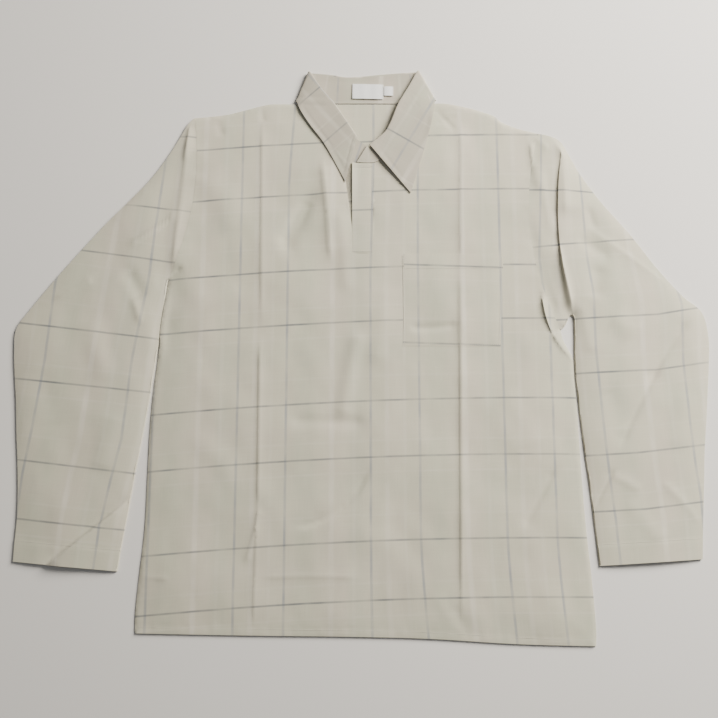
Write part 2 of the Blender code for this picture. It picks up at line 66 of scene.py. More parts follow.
def add(tree, kind, inputs=(), **settings):
    """A node with its settings, and with each input set to a value or linked from a socket."""
    made = tree.nodes.new(kind)
    for name, value in settings.items():
        setattr(made, name, value)
    for key, value in dict(inputs).items():
        if isinstance(value, bpy.types.NodeSocket):
            tree.links.new(value, made.inputs[key])
        else:
            made.inputs[key].default_value = value
    return made


def calc(tree, operation, *values):
    """The result of a math node."""
    return add(tree, "ShaderNodeMath", dict(enumerate(values)), operation=operation).outputs[0]


def mixed(tree, share, first, second):
    """A colour between two, by the share of the second."""
    return add(tree, "ShaderNodeMix", {0: share, 6: first, 7: second}, data_type="RGBA").outputs[2]


def speckle(tree, where, scale, detail):
    return add(tree, "ShaderNodeTexNoise", {"Vector": where, "Scale": scale, "Detail": detail}).outputs[0]


def new_material(name):
    made = bpy.data.materials.new(name)
    made.use_nodes = True
    return made, made.node_tree, made.node_tree.nodes["Principled BSDF"]


def link(obj):
    bpy.context.scene.collection.objects.link(obj)
    return obj


# Matt painted board: even, with the faintest mottle.
board, tree, shader = new_material("matt_painted_board")
where = add(tree, "ShaderNodeTexCoord").outputs["Object"]
mottle = speckle(tree, where, scale=1.5, detail=3.0)
tree.links.new(mixed(tree, mottle, colour("DCDAD5"), colour("E2E0DC")), shader.inputs["Base Color"])
shader.inputs["Roughness"].default_value = 0.9
half = FLOOR_SIZE / 2
floor_mesh = bpy.data.meshes.new("floor")
corners = [(-half, -half), (half, -half), (half, half), (-half, half)]
floor_mesh.from_pydata([(x, y, -FLOOR_DROP) for x, y in corners], [], [(0, 1, 2, 3)])
floor_mesh.materials.append(board)
link(bpy.data.objects.new("floor", floor_mesh))


def soft_light(name, place, size, power, tint):
    """A square light that faces the shirt."""
    data = bpy.data.lights.new(name, "AREA")
    data.size = size
    data.energy = power
    data.color = colour(tint)[:3]
    lamp = link(bpy.data.objects.new(name, data))
    lamp.location = place
    lamp.rotation_euler = (-Vector(place)).to_track_quat("-Z", "Y").to_euler()


soft_light("window", (1.6, 1.25, 1.15), 1.2, 174.0, "FFF9F0")
soft_light("ceiling", (-0.1, 0.1, 2.4), 2.2, 5.0, "F4F7FF")
world = bpy.data.worlds.new("studio")
world.use_nodes = True
world.node_tree.nodes["Background"].inputs["Color"].default_value = colour("F2F2F2")
world.node_tree.nodes["Background"].inputs["Strength"].default_value = 0.14
bpy.context.scene.world = world

camera_data = bpy.data.cameras.new("camera")
camera_data.lens = LENS_MM
camera_data.sensor_width = 36.0
camera = link(bpy.data.objects.new("camera", camera_data))
camera.location = CAMERA_TARGET + CAMERA_OFFSET
camera.rotation_euler = (-CAMERA_OFFSET).to_track_quat("-Z", "Y").to_euler()
bpy.context.scene.camera = camera

# The back panel. One piece of fine plain-woven cotton shirting, which the front lies on. It shows
# inside the open neck, through the gap at the wearer's left underarm, and underneath.
SHELL = 0.6
BACK_CLEAR = 0.1
SHARP_EDGE = 55
PANEL_STEP = 4.0
BACK_STEP = 9.0
EDGE_STEP = 4.0
LATTICE_GAP = 0.4
DETAIL_GAP = 0.3
DETAIL_RING = 0.6
HEM = [(-294, -383), (-158, -385.5), (0, -387.5), (92, -390), (205, -396.5), (305, -399)]
SIDE_RIGHT = [(-294, -383), (-295, -360), (-292, -314), (-287, -252), (-286, -190), (-285, -116)]
SIDE_RIGHT += [(-281.5, -57), (-276, -9), (-275.5, 22), (-267, 90)]
SIDE_LEFT = [(305, -399), (306, -375), (303, -314), (298, -243), (295, -171), (292.5, -89)]
SIDE_LEFT += [(290.5, -50), (289.5, -22), (283, -7), (277, 6), (274.5, 18.5)]
SHOULDER_RIGHT = [(-238, 327.5), (-192, 333), (-141, 346.5), (-124, 349), (-90, 348.5)]
SHOULDER_LEFT = [(253, 304), (223, 312), (200, 322), (190, 331), (158, 342), (124, 349.5), (103, 350)]
Armhole = namedtuple("Armhole", "under tip bow")
ARMHOLE_RIGHT = Armhole((-267.5, 90), (-238, 327.5), 17.0)
ARMHOLE_LEFT = Armhole((274.5, 18.5), (253, 304), -27.0)
ARMHOLE_STEPS = 60
BACK_NECK = [(82, 349.5), (40, 348.5), (0, 348.5), (-40, 348.5), (-72, 348.5)]

# The weave's pitch as drawn, and how uneven the yarns are: the scales of the noise across and
# along, the part of the noise that counts, and what that gives.
WEAVE_PITCH = 0.9
PATCHES = (7, 6, 1)
UNEVENNESS = {"warp": (60, 26, 1), "weft": (26, 60, 1)}
UNEVEN_RANGE = (0.3, 0.7)
WORN_SHARES = (0.35, 1.2)
SLUBS = [(900, 30, 1), (30, 900, 1)]
SLUB_RANGE = (0.6, 1.4)
SLUB_TONES = (0.955, 1.045)
SLUB_RELIEF = 1.5

# The check: each row is a line or a soft band that repeats across the cloth. way is the way its
# yarns run, offset its place in the repeat and width its width, full over its core.
REPEATS = {"warp": 180.5, "weft": 186.0}
STRIPE_CORE = 0.15
STRIPE_REACH = 0.6
Yarns = namedtuple("Yarns", "way offset width tint strength")
YARNS = [
    Yarns("warp", 148, 40, "CDC1B2", 0.3),
    Yarns("warp", 46, 30, "CABFB0", 0.22),
    Yarns("warp", 104, 34, "B6B9A3", 0.45),
    Yarns("warp", -6, 26, "B7BAA6", 0.35),
    Yarns("weft", -10, 46, "B8BAA5", 0.35),
    Yarns("weft", 68, 34, "C9BFB0", 0.22),
    Yarns("warp", 141, 9, "D8D3C4", 0.45),
    Yarns("warp", 35, 8, "D4CFC0", 0.35),
    Yarns("warp", 59, 5, "D2CDBE", 0.25),
    Yarns("warp", 171, 6, "D2CDBE", 0.25),
    Yarns("weft", 10, 3.5, "D2CDBE", 0.25),
    Yarns("weft", 52, 4, "D2CDBE", 0.25),
    Yarns("weft", 140, 4, "D2CDBE", 0.2),
    Yarns("warp", 13, 4.4, "878C93", 0.6),
    Yarns("warp", 79, 4.4, "878C93", 0.6),
    Yarns("weft", 30, 3.3, "666B70", 0.72),
    Yarns("weft", 106, 3.3, "666B70", 0.72),
]


def ranged(tree, value, taken, given, **settings):
    """A value moved from one range to another."""
    ends = dict(zip(("From Min", "From Max", "To Min", "To Max"), (*taken, *given)))
    return add(tree, "ShaderNodeMapRange", {"Value": value, **ends}, **settings).outputs[0]


def stripe(tree, place, repeat, row):
    """1 in the middle of a stripe that repeats, falling softly to 0 at its edges."""
    reach = repeat * MM / 2
    moved = calc(tree, "SUBTRACT", place, row.offset * MM)
    away = calc(tree, "ABSOLUTE", calc(tree, "WRAP", moved, reach, -reach))
    edges = (row.width * MM * STRIPE_CORE, row.width * MM * STRIPE_REACH)
    return ranged(tree, away, edges, (1.0, 0.0), interpolation_type="SMOOTHSTEP")


def yarn_noise(tree, grain, scale, detail=2.0):
    """Unevenness that is drawn out along the yarns."""
    laid = add(tree, "ShaderNodeMapping", {"Vector": grain, "Scale": scale})
    return speckle(tree, laid.outputs[0], 1.0, detail)


def shirting(name, ground, deep):
    """Fine plain-woven cotton, matt with a faint nap, with slubs that show as short pale streaks.

    The threads are 0.3 mm apart in life. The bump draws them 0.9 mm apart, so that they show.
    """
    made, tree, shader = new_material(name)
    grain = add(tree, "ShaderNodeUVMap", uv_map="grain").outputs[0]
    split = add(tree, "ShaderNodeSeparateXYZ", {0: grain})
    places = {"warp": split.outputs[0], "weft": split.outputs[1]}
    uneven = {way: yarn_noise(tree, grain, scale) for way, scale in UNEVENNESS.items()}
    shade = mixed(tree, yarn_noise(tree, grain, PATCHES, detail=3.0), colour(ground), colour(deep))
    for row in YARNS:
        mask = stripe(tree, places[row.way], REPEATS[row.way], row)
        worn = ranged(tree, uneven[row.way], UNEVEN_RANGE, [row.strength * share for share in WORN_SHARES])
        shade = mixed(tree, calc(tree, "MULTIPLY", mask, worn), shade, colour(row.tint))
    slubs = calc(tree, "ADD", *(yarn_noise(tree, grain, scale) for scale in SLUBS))
    level = ranged(tree, slubs, SLUB_RANGE, SLUB_TONES)
    toned = add(tree, "ShaderNodeVectorMath", {0: shade, "Scale": level}, operation="SCALE")
    tree.links.new(toned.outputs[0], shader.inputs["Base Color"])

    turns = 2 * math.pi / (WEAVE_PITCH * MM)
    waves = [calc(tree, "SINE", calc(tree, "MULTIPLY", place, turns)) for place in places.values()]
    height = calc(tree, "MULTIPLY_ADD", slubs, SLUB_RELIEF, calc(tree, "MULTIPLY", *waves))
    bump = add(tree, "ShaderNodeBump", {"Strength": 0.3, "Distance": 0.00006, "Height": height})
    tree.links.new(bump.outputs[0], shader.inputs["Normal"])
    shader.inputs["Roughness"].default_value = 0.86
    shader.inputs["Specular IOR Level"].default_value = 0.25
    shader.inputs["Sheen Weight"].default_value = 0.12
    shader.inputs["Sheen Roughness"].default_value = 0.5
    return made


body_cloth = shirting("cotton_shirting", "C7C2AE", "C0BDA8")


def curve_through(rows, count_pieces):
    """These rows and more between them, on Catmull-Rom curves, with so many pieces to each span."""
    found = []
    last = len(rows) - 1
    for i in range(last):
        before, start, end, after = (rows[min(max(k, 0), last)] for k in (i - 1, i, i + 1, i + 2))
        pieces = count_pieces(start, end)
        for k in range(pieces):
            t = k / pieces
            curve = 2 * start + (end - before) * t
            curve = curve + (2 * before - 5 * start + 4 * end - after) * t**2
            curve = curve + (3 * start - before - 3 * end + after) * t**3
            found.append(curve / 2)
    return found + [rows[-1]]


def smooth_path(points, step):
    """Points along a smooth line through these, about one step apart."""
    rows = [Vector(p) for p in points]
    return curve_through(rows, lambda start, end: max(1, round((end - start).length / step)))


def armhole_path(armhole):
    """The armhole seam from the underarm to the shoulder."""
    under = Vector(armhole.under)
    along = Vector(armhole.tip) - under
    sideways = Vector((along.y, -along.x)).normalized()
    shares = [k / ARMHOLE_STEPS for k in range(ARMHOLE_STEPS + 1)]
    return [under + along * t + sideways * armhole.bow * 4 * t * (1 - t) for t in shares]


side_right = smooth_path(SIDE_RIGHT, EDGE_STEP)
side_left = smooth_path(SIDE_LEFT, EDGE_STEP)
hem_path = smooth_path(HEM, EDGE_STEP)
shoulder_right = smooth_path(SHOULDER_RIGHT, EDGE_STEP)
shoulder_left = smooth_path(SHOULDER_LEFT, EDGE_STEP)


def body_outline(neck):
    """The panel's outline, anticlockwise from the hem's corner on the wearer's right."""
    outline = hem_path + side_left[1:-1] + armhole_path(ARMHOLE_LEFT)
    outline += shoulder_left[1:] + neck + shoulder_right[:0:-1]
    return outline + armhole_path(ARMHOLE_RIGHT)[::-1] + side_right[-2:0:-1]


def path_distance(points, path):
    """How far each point is from a line through many points."""
    best = np.full(len(points), np.inf)
    line = np.array([tuple(p)[:2] for p in path])
    for start, end in zip(line, line[1:]):
        along = end - start
        offset = points - start
        t = np.clip(offset @ along / max(along @ along, 1e-9), 0, 1)
        best = np.minimum(best, np.hypot(*(offset - t[:, None] * along).T))
    return best


def inside(points, outline):
    """Whether each point lies within a closed outline."""
    crossings = np.zeros(len(points), bool)
    ring = np.array([tuple(p) for p in outline])
    for start, end in zip(ring, np.roll(ring, -1, axis=0)):
        straddles = (start[1] > points[:, 1]) != (end[1] > points[:, 1])
        rise = end[1] - start[1] if end[1] != start[1] else 1e-9
        meets = start[0] + (points[:, 1] - start[1]) / rise * (end[0] - start[0])
        crossings ^= straddles & (points[:, 0] < meets)
    return crossings


def triangulate(outline, step, details=()):
    """Flat points and faces inside an outline, on a lattice of even triangles and any detail points."""
    corners = np.array([tuple(p) for p in outline])
    edge = list(outline) + [outline[0]]
    low, high = corners.min(axis=0), corners.max(axis=0)
    rows = np.arange(low[1], high[1], step * math.sqrt(3) / 2)
    lattice = [(x, y) for k, y in enumerate(rows)
               for x in np.arange(low[0] + (k % 2) * step / 2, high[0], step)]
    extra = np.array(list(details)).reshape(-1, 2)
    if len(extra):
        extra = extra[inside(extra, outline)]
        extra = extra[path_distance(extra, edge) > step * DETAIL_GAP]
        tree = KDTree(len(extra))
        for k, place in enumerate(extra):
            tree.insert((*place, 0), k)
        tree.balance()
        lattice = [place for place in lattice if tree.find((*place, 0))[2] > step * DETAIL_RING]
    lattice = np.array(lattice)
    lattice = lattice[inside(lattice, outline)]
    lattice = lattice[path_distance(lattice, edge) > step * LATTICE_GAP]
    points = [Vector(p) for p in (*outline, *lattice, *extra)]
    loop = [list(range(len(outline)))]
    flat, _, faces, _, _, _ = delaunay_2d_cdt(points, [], loop, 1, 1e-4)
    return np.array([tuple(p) for p in flat]), faces


def cloth_piece(name, points, faces, grain, cloth, thickness, offset=-1.0):
    """A shell of cloth: its outer surface from points in millimetres, thickened inwards."""
    mesh = bpy.data.meshes.new(name)
    mesh.from_pydata([Vector(p) * MM for p in points], [], faces)
    layer = mesh.uv_layers.new(name="grain")
    corners = np.empty(len(mesh.loops), np.int32)
    mesh.loops.foreach_get("vertex_index", corners)
    layer.data.foreach_set("uv", (np.asarray(grain)[corners] * MM).astype(np.float32).ravel())
    mesh.shade_smooth()
    mesh.materials.append(cloth)
    obj = link(bpy.data.objects.new(name, mesh))
    wall = obj.modifiers.new("wall", "SOLIDIFY")
    wall.thickness = thickness * MM
    wall.offset = offset
    bpy.context.view_layer.update()
    shell = bpy.data.meshes.new_from_object(obj.evaluated_get(bpy.context.evaluated_depsgraph_get()))
    shell.set_sharp_from_angle(angle=math.radians(SHARP_EDGE))
    obj.modifiers.clear()
    obj.data = shell
    return obj


def laid_piece(name, outline, step, top_of, grain_of, cloth, thickness, details=()):
    """A piece of cloth within an outline, with its height and its place in the check by functions."""
    flat, faces = triangulate(outline, step, details)
    points = np.column_stack([flat, top_of(flat)])
    return cloth_piece(name, points, faces, grain_of(flat), cloth, thickness)


def belongs(obj, slot, *nodes):
    """The piece moves with the part and stands for these nodes of the model. The slot is not used."""
    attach(obj, "root")
    if nodes:
        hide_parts(*nodes)


# How the check lies off square: its cross lines droop, its long ones flare above the hem, two folds
# pull it aside, and it rises at the wearer's left shoulder.
SKEW = 0.0419
SKEW_BEND = -8.93e-5
FLARE = 8.0
FLARE_START = -250.0
FLARE_DEPTH = 130.0
FLARE_SIDE = 80.0
SHOULDER_LIFT = 6.0
LIFT_ACROSS = (40, 40)
LIFT_ALONG = (250, 60)
Pull = namedtuple("Pull", "shift start_and_span middle width")
PULLS = [Pull(7, (230, 110), -95, 30), Pull(5, (100, 170), 25, 50)]


def ramp(value, span):
    """0 up to no value, 1 from the span on, and even between."""
    return np.clip(value / span, 0, 1)


def climb(value, start_and_span):
    """0 up to the start, and 1 from the end of the span on."""
    start, span = start_and_span
    return ramp(value - start, span)


def bell(away, width):
    """1 at no distance, falling smoothly to 0 over about two widths."""
    return np.exp(-((away / width) ** 2))


def body_grain(points):
    """Where each point lies in the check."""
    x, y = points[:, 0], points[:, 1]
    across = x - FLARE * np.clip((FLARE_START - y) / FLARE_DEPTH, 0, 2) ** 1.5 * ramp(x, FLARE_SIDE)
    for pull in PULLS:
        across = across - pull.shift * climb(y, pull.start_and_span) * bell(x - pull.middle, pull.width)
    lift = SHOULDER_LIFT * climb(y, LIFT_ALONG) * climb(x, LIFT_ACROSS)
    return np.stack([across, y - SKEW * x - SKEW_BEND * x**2 - lift], axis=1)


back = laid_piece("back_panel", body_outline([Vector(p) for p in BACK_NECK]), BACK_STEP,
                  lambda flat: np.full(len(flat), SHELL + BACK_CLEAR), body_grain, body_cloth, SHELL)
belongs(back, "shirting", "back")

# The front panel. The same shirting, joined to the back at the sides and shoulders, hemmed along
# its lower edge and open at the neck. It keeps two pressed creases and the folds of being laid out.
LOFT = 2.2
LOFT_RISE = 30.0
FRONT_EDGE_TOP = 2.0
FRONT_LOWEST = 0.9
FOLD_RISE = 1.6
SEAM_ROLL = 2.4
HEM_DEPTH = 8.0
HEM_STEP = 0.35
HEM_PUCKER = 0.22
PUCKER_WAVES = (3.1, 11.3)
PUCKER_REACH = 5.0
SEAM_GATHER = 0.3
GATHER_WAVES = (4.3, 13.7)
GATHER_REACH = 7.0
PAST_ARMHOLE = 10.0
SLIT = [(15, 259), (15, 130), (-10.5, 130), (-10.5, 150), (-22, 236), (-22, 259)]
SLIT_EDGE = [(-10.5, 150), (-22, 236), (-22.5, 250)]
NECK_LEFT = [(88.3, 330.7), (68.3, 299.7), (46.3, 273.7)]
NECK_RIGHT = [(-39.3, 284.7), (-57.3, 309.7), (-74.3, 332.7)]
SLIT_LINE = ((150, 250), (-10.5, -23))
SLIT_SINK = 1.4
SLIT_FADE = 5.0
SLIT_CLIMB = 60.0
GAPE_START = 165.0
EDGE_LIFT = 2.1
EDGE_REACH = 7.0
UNDERARM_Y = 25.0
UNDERARM_REACH = 45.0
SETTLING = [(2.0, 70, 90, 0), (0.55, 24, 34, 7)]
BROADEST_DETAIL = 6
DETAIL_STEP = 3.5
DETAIL_SPACING = 1.3
Fold = namedtuple("Fold", "start end width height bend", defaults=(0,))
Crease = namedtuple("Crease", "start end widths height bend", defaults=(0,))
ARMHOLE_FOLDS = [
    Crease((-246, 324), (-264, 92), (5, 12), 2.6, 2),
    Crease((-244, 320), (-251, 258), (2.5, 5), 2.2),
    Crease((-276, 84), (-249, 109), (4, 1.5), -2.4),
    Crease((-250, 192), (-330, 134), (5, 3), 2.2, 3),
]
LAP_FOLDS = [
    Crease((242, 299), (255, 212), (2.5, 6), 2.2, -5),
    Crease((248, 300), (268, 278), (4, 2.5), 1.8),
    Crease((258, 255), (270, 150), (9, 3), 1.4, -4),
    Crease((286, 304), (286, 172), (12, 30), 4.2),
]
FRONT_FOLDS = ARMHOLE_FOLDS + LAP_FOLDS + [
    Crease((-142, 342), (-137, 10), (2.4, 8), 1.3),
    Crease((-139, 20), (-137, -244), (2.0, 7), 1.6),
    Crease((-136, -215), (-156, -300), (3, 8), 1.3, 4),
    Crease((-138, -225), (-141, -384), (2, 6), 0.9),
    Crease((143, 336), (138, 95), (3, 11), 1.6),
    Crease((138, 150), (130, -398), (2.0, 10), 2.0),
    Crease((-57, 276), (-42, 104), (5, 13), 2.9, 2),
    Fold((-62, 225), (-112, 118), 11, -2.0),
    Fold((-30, 200), (-18, 60), 10, 1.4),
    Fold((4, 30), (-25, -118), 11, 2.2, -6),
    Fold((-105, -106), (14, -109), 8, -1.3),
    Crease((14, -165), (-98, -250), (8, 2.5), -2.2, 22),
    Fold((-115, 135), (-70, 210), 9, -1.8),
    Crease((264, -165), (214, -256), (8, 2), -1.9),
    Fold((-277, 15), (-150, 78), 14, 1.1, 8),
    Fold((96, -330), (128, -392), 8, 0.5),
    Fold((120, -345), (142, -394), 7, -0.6),
    Crease((-292, -312), (-250, -314), (3, 5), 0.8),
    Crease((-140, -313), (6, -313), (3, 6), 0.8, 2),
    Fold((62, 22), (137, 27), 5, -1.3, -3),
    Crease((250, 78), (291, -26), (1.2, 8), 3.4, -12.5),
    Crease((280, 26), (258, 10), (3, 2), -2.0),
    Fold((236, 151), (273, 134), 3.5, -1.0),
    Fold((106, 342), (136, 306), 4, -1.0),
    Fold((106, 318), (138, 332), 4, -0.9),
    Fold((196, 334), (203, 306), 4, 1.0),
    Fold((-206, 326), (-197, 298), 5, -1.0),
    Fold((-143, 345), (-139, 320), 4, -0.8),
    Fold((-230, 250), (-175, 150), 16, 1.1, 6),
    Fold((40, 90), (20, -40), 15, 1.0),
    Fold((-240, -120), (-170, -190), 18, 1.0, 6),
    Fold((190, -60), (235, -150), 18, 1.0),
    Fold((30, -230), (95, -300), 18, -1.0),
]


def fold_height(points, folds):
    """The sum of the folds at each point, fading to nothing at a fold's ends.

    A crease has a sharp ridge, and a width on each side of it.
    """
    height = np.zeros(len(points))
    for fold in folds:
        start = np.array(fold.start, float)
        along = np.array(fold.end) - start
        offset = points - start
        t = offset @ along / (along @ along)
        sideways = np.array((-along[1], along[0])) / math.hypot(*along)
        across = offset @ sideways - fold.bend * 4 * t * (1 - t)
        fade = np.minimum(1, 4 * np.sin(math.pi * np.clip(t, 0, 1)) ** 2)
        if isinstance(fold, Crease):
            shape = np.exp(-np.abs(across) / np.where(across < 0, *fold.widths))
        else:
            shape = bell(across, fold.width)
        height += fold.height * fade * shape
    return height


def fold_details(folds, step):
    """Points along each sharp or narrow fold, close enough together to draw it."""
    found = []
    for fold in folds:
        start = Vector(fold.start)
        along = Vector(fold.end) - start
        sideways = Vector((-along.y, along.x)).normalized()
        before, after = fold.widths if isinstance(fold, Crease) else (fold.width, fold.width)
        if before > BROADEST_DETAIL:
            continue
        offsets = (-1.6 * before, -0.8 * before, 0, min(0.8 * after, 3), min(1.6 * after, 6))
        count = max(2, round(along.length / step))
        for k in range(count + 1):
            t = k / count
            middle = start + along * t + sideways * fold.bend * 4 * t * (1 - t)
            found += [tuple(middle + sideways * offset) for offset in offsets]
    spots = {(round(x / DETAIL_SPACING), round(y / DETAIL_SPACING)): (x, y) for x, y in found}
    return list(spots.values())


def settle(points, seed):
    """The slight unevenness of cloth that has been smoothed out by hand, broad and small."""
    height = 0
    for depth, wide, long, shift in SETTLING:
        waves = [noise.noise(Vector((x / wide, y / long, seed + shift))) for x, y in points]
        height = height + depth * np.array(waves)
    return height


def ripple(along, short, long):
    """Small uneven waves, made from two even ones."""
    return np.sin(along / short) * np.sin(along / long)


def beside_armhole(points, armhole):
    """How far each point is to the left of an armhole seam, and 1 beside it, fading past its ends."""
    seam = np.array([tuple(p) for p in armhole_path(armhole)])
    seam = seam[np.argsort(seam[:, 1])]
    x, y = points[:, 0], points[:, 1]
    past = np.maximum(0, np.maximum(seam[0, 1] - y, y - seam[-1, 1]))
    return np.interp(y, seam[:, 1], seam[:, 0]) - x, bell(past, PAST_ARMHOLE)


closed_edges = [side_right, side_left, shoulder_right, shoulder_left]


def front_top(points):
    """The height of the front's upper surface: down on the back at its seams, and lofted between."""
    x, y = points[:, 0], points[:, 1]
    seam = np.min([path_distance(points, path) for path in closed_edges], axis=0)
    hem = path_distance(points, hem_path)
    rise = 1 - np.exp(-np.minimum(seam, hem) / LOFT_RISE)
    height = FRONT_EDGE_TOP + LOFT * rise
    height += (fold_height(points, FRONT_FOLDS) + settle(points, seed=3)) * np.clip(rise * FOLD_RISE, 0, 1)
    height -= np.clip(1 - seam / SEAM_ROLL, 0, 1) ** 2
    height += HEM_STEP * ramp(HEM_DEPTH + 1 - hem, 1.2)
    height -= HEM_STEP * bell(hem - HEM_DEPTH, 1.0)
    height += HEM_PUCKER * ripple(x, *PUCKER_WAVES) * bell(hem - HEM_DEPTH, PUCKER_REACH)
    for armhole in (ARMHOLE_RIGHT, ARMHOLE_LEFT):
        beyond, beside = beside_armhole(points, armhole)
        height += SEAM_GATHER * ripple(y, *GATHER_WAVES) * beside * bell(beyond, GATHER_REACH)
    underarm = np.exp(-(((y - UNDERARM_Y) / UNDERARM_REACH) ** 4))
    height += EDGE_LIFT * underarm * bell(path_distance(points, side_right), EDGE_REACH)
    sunk = ramp(y - GAPE_START, SLIT_CLIMB) * np.exp(-path_distance(points, SLIT_EDGE) / SLIT_FADE)
    height -= SLIT_SINK * sunk * (x < np.interp(y, *SLIT_LINE))
    return np.maximum(height, FRONT_LOWEST)


neck = [Vector(p) for p in NECK_LEFT + SLIT + NECK_RIGHT]
front = laid_piece("front_panel", body_outline(neck), PANEL_STEP, front_top, body_grain, body_cloth,
                   SHELL, fold_details(FRONT_FOLDS, DETAIL_STEP))
belongs(front, "shirting", "front")

# The patch pocket. A flat piece of the same shirting, hemmed at its top and edge-stitched to the
# wearer's left chest along its other sides. Its check doesn't match the front's.
POCKET = [(60, 126), (57, -5), (191, -5), (198, 126)]
LAID_ON_FRONT = 0.15
POCKET_RAISE = 0.75
POCKET_RISE = 14.0
POCKET_STITCH = 2.2
POCKET_DENT = 0.15
DENT_WIDTH = 0.8
POCKET_HEM_STEP = 0.2
POCKET_WALL = 0.3
POCKET_STEP = 3.2
POCKET_HEM = 21.0
POCKET_SHIFT = 82.9
POCKET_SKEW = -0.034


def ring_path(outline, step):
    """Points along a closed outline with straight sides."""
    path = []
    for start, end in zip(outline, outline[1:] + outline[:1]):
        start, end = Vector(start), Vector(end)
        count = max(1, round((end - start).length / step))
        path += [start.lerp(end, k / count) for k in range(count)]
    return path


def pocket_top(points):
    """The pocket lies on the front. Its sewn edges are pressed down and its hem is doubled."""
    edge = path_distance(points, ring_path(POCKET, 200) + [Vector(POCKET[0])])
    height = front_top(points) + LAID_ON_FRONT + POCKET_RAISE * (1 - np.exp(-edge / POCKET_RISE))
    height -= POCKET_DENT * bell(edge - POCKET_STITCH, DENT_WIDTH)
    deep = POCKET[0][1] - points[:, 1]
    return height + POCKET_HEM_STEP * ramp(POCKET_HEM - deep, 1.2)


def pocket_grain(flat):
    return flat - np.column_stack([0 * flat[:, 0], POCKET_SHIFT + POCKET_SKEW * flat[:, 0]])


pocket = laid_piece("patch_pocket", ring_path(POCKET, 3.0), POCKET_STEP, pocket_top, pocket_grain,
                    body_cloth, POCKET_WALL)
belongs(pocket, "shirting", "pocket")

# The placket. Two strips of the same shirting, each folded double, along the short front opening.
# The upper one hides the fastening and has a stitched lower end. The lower one shows beside it.
PLACKET_LEFT = -12.3
PLACKET_RIGHT = 16.7
PLACKET_BOTTOM = 127.3
PLACKET_TOP = 258.7
PLACKET_PUFF = 0.55
PLACKET_GAPE = 2.7
SIDE_DENT = 0.2
TOP_DENT = 0.45
END_DENT = 0.25
END_FADE = 7.0
PLACKET_FADE = 6.0
GAPE_CLIMB = 80.0
SIDE_STITCH = 1.8
TOP_STITCH = 6.6
END_STITCH = 2
UNDER_LEFT = -21.7
UNDER_RIGHT = 7.3
UNDER_TOP = 2.4
UNDER_RAISE = 1.0
UNDER_GAPE = 2.2
UNDER_REACH = 10.0
STRIP_STEP = 2.4
STRIP_WALL = 0.9


def placket_top(points):
    """The upper strip lies a little proud of the front, puffed along its middle."""
    x, y = points[:, 0], points[:, 1]
    across = ramp(x - PLACKET_LEFT, PLACKET_RIGHT - PLACKET_LEFT)
    height = front_top(points) + LAID_ON_FRONT + PLACKET_PUFF * np.sin(math.pi * across)
    height += PLACKET_GAPE * ramp(y - GAPE_START, GAPE_CLIMB) * np.exp(-((x - PLACKET_LEFT) / PLACKET_FADE))
    height -= SIDE_DENT * bell(x - PLACKET_RIGHT + SIDE_STITCH, DENT_WIDTH)
    height -= TOP_DENT * bell(y - PLACKET_TOP + TOP_STITCH, 0.9)
    return height - END_DENT * np.exp(-((y - PLACKET_BOTTOM) / END_FADE))


def under_placket_top(points):
    """The lower strip, which rises from beside the front's cut edge to the upper strip over it."""
    x, y = points[:, 0], points[:, 1]
    lifted = UNDER_RAISE + UNDER_GAPE * ramp(y - GAPE_START, GAPE_CLIMB)
    covered = np.exp(-np.maximum(0, x - PLACKET_LEFT) / PLACKET_FADE)
    return UNDER_TOP + lifted * ramp(x - UNDER_LEFT, UNDER_REACH) * covered


for name, node, left, right, top_of, shift in (
    ("placket_upper", "placket", PLACKET_LEFT, PLACKET_RIGHT, placket_top, 26.6),
    ("placket_under", "under_placket", UNDER_LEFT, UNDER_RIGHT, under_placket_top, 13.0),
):
    ends = [(left, PLACKET_TOP), (left, PLACKET_BOTTOM), (right, PLACKET_BOTTOM), (right, PLACKET_TOP)]
    piece = laid_piece(name, ring_path(ends, STRIP_STEP), STRIP_STEP, top_of,
                       lambda flat: body_grain(flat) + np.array((0, shift)), body_cloth, STRIP_WALL)
    belongs(piece, "shirting", node)

# The sleeves. Each is one piece of the shirting sewn into a tube and pressed flat, with a plain
# hem and no cuff. The wearer's left one is lapped over in a deep fold beside its armhole.
Section = namedtuple("Section", "inner outer bow top slip", defaults=(0,))
SLEEVE_LEFT = [Section(*row) for row in [
    ((274.5, 18.5), (253, 304), -27, 4.7),
    ((278.5, 21.5), (266, 301), -23, 4.6),
    ((282.5, 27), (277, 297), -17, 4.4),
    ((286, 35), (283, 292.5), -14, 4.3, 3.0),
    ((288.5, 38.5), (285.5, 290), -13.5, 6.4, 2.5),
    ((291.5, 38.5), (287, 288), -13, 8.6, -0.5),
    ((293, 32), (290, 282), -6, 9.0),
    ((293, 22), (298, 266), 1, 8.7),
    ((293, 10), (310, 243), 10, 8.2),
    ((292, -12), (337, 203), 15, 7.4),
    ((292, -31), (376, 155), 16, 7.0),
    ((292.5, -50), (412, 105), 13, 6.6),
    ((294, -70), (445, 66), 9, 6.4),
    ((295.5, -92), (470, 43), 6, 6.2),
    ((297.5, -116), (477, 8), 3, 6.0),
    ((299.5, -138), (475, -30), 2, 6.0),
    ((301.5, -160), (471, -67), 1, 5.8),
    ((304, -182), (467, -105), 0, 5.8),
    ((306, -204), (462, -145), 0, 5.6),
    ((308, -225), (459, -182), 0, 5.6),
    ((309.5, -245), (456, -216), 0, 5.4),
    ((311, -263), (453.5, -245), 0, 5.2),
    ((312.5, -281), (451.5, -269), 0, 5.0),
    ((314, -297.5), (450, -289), 0, 4.6),
]]
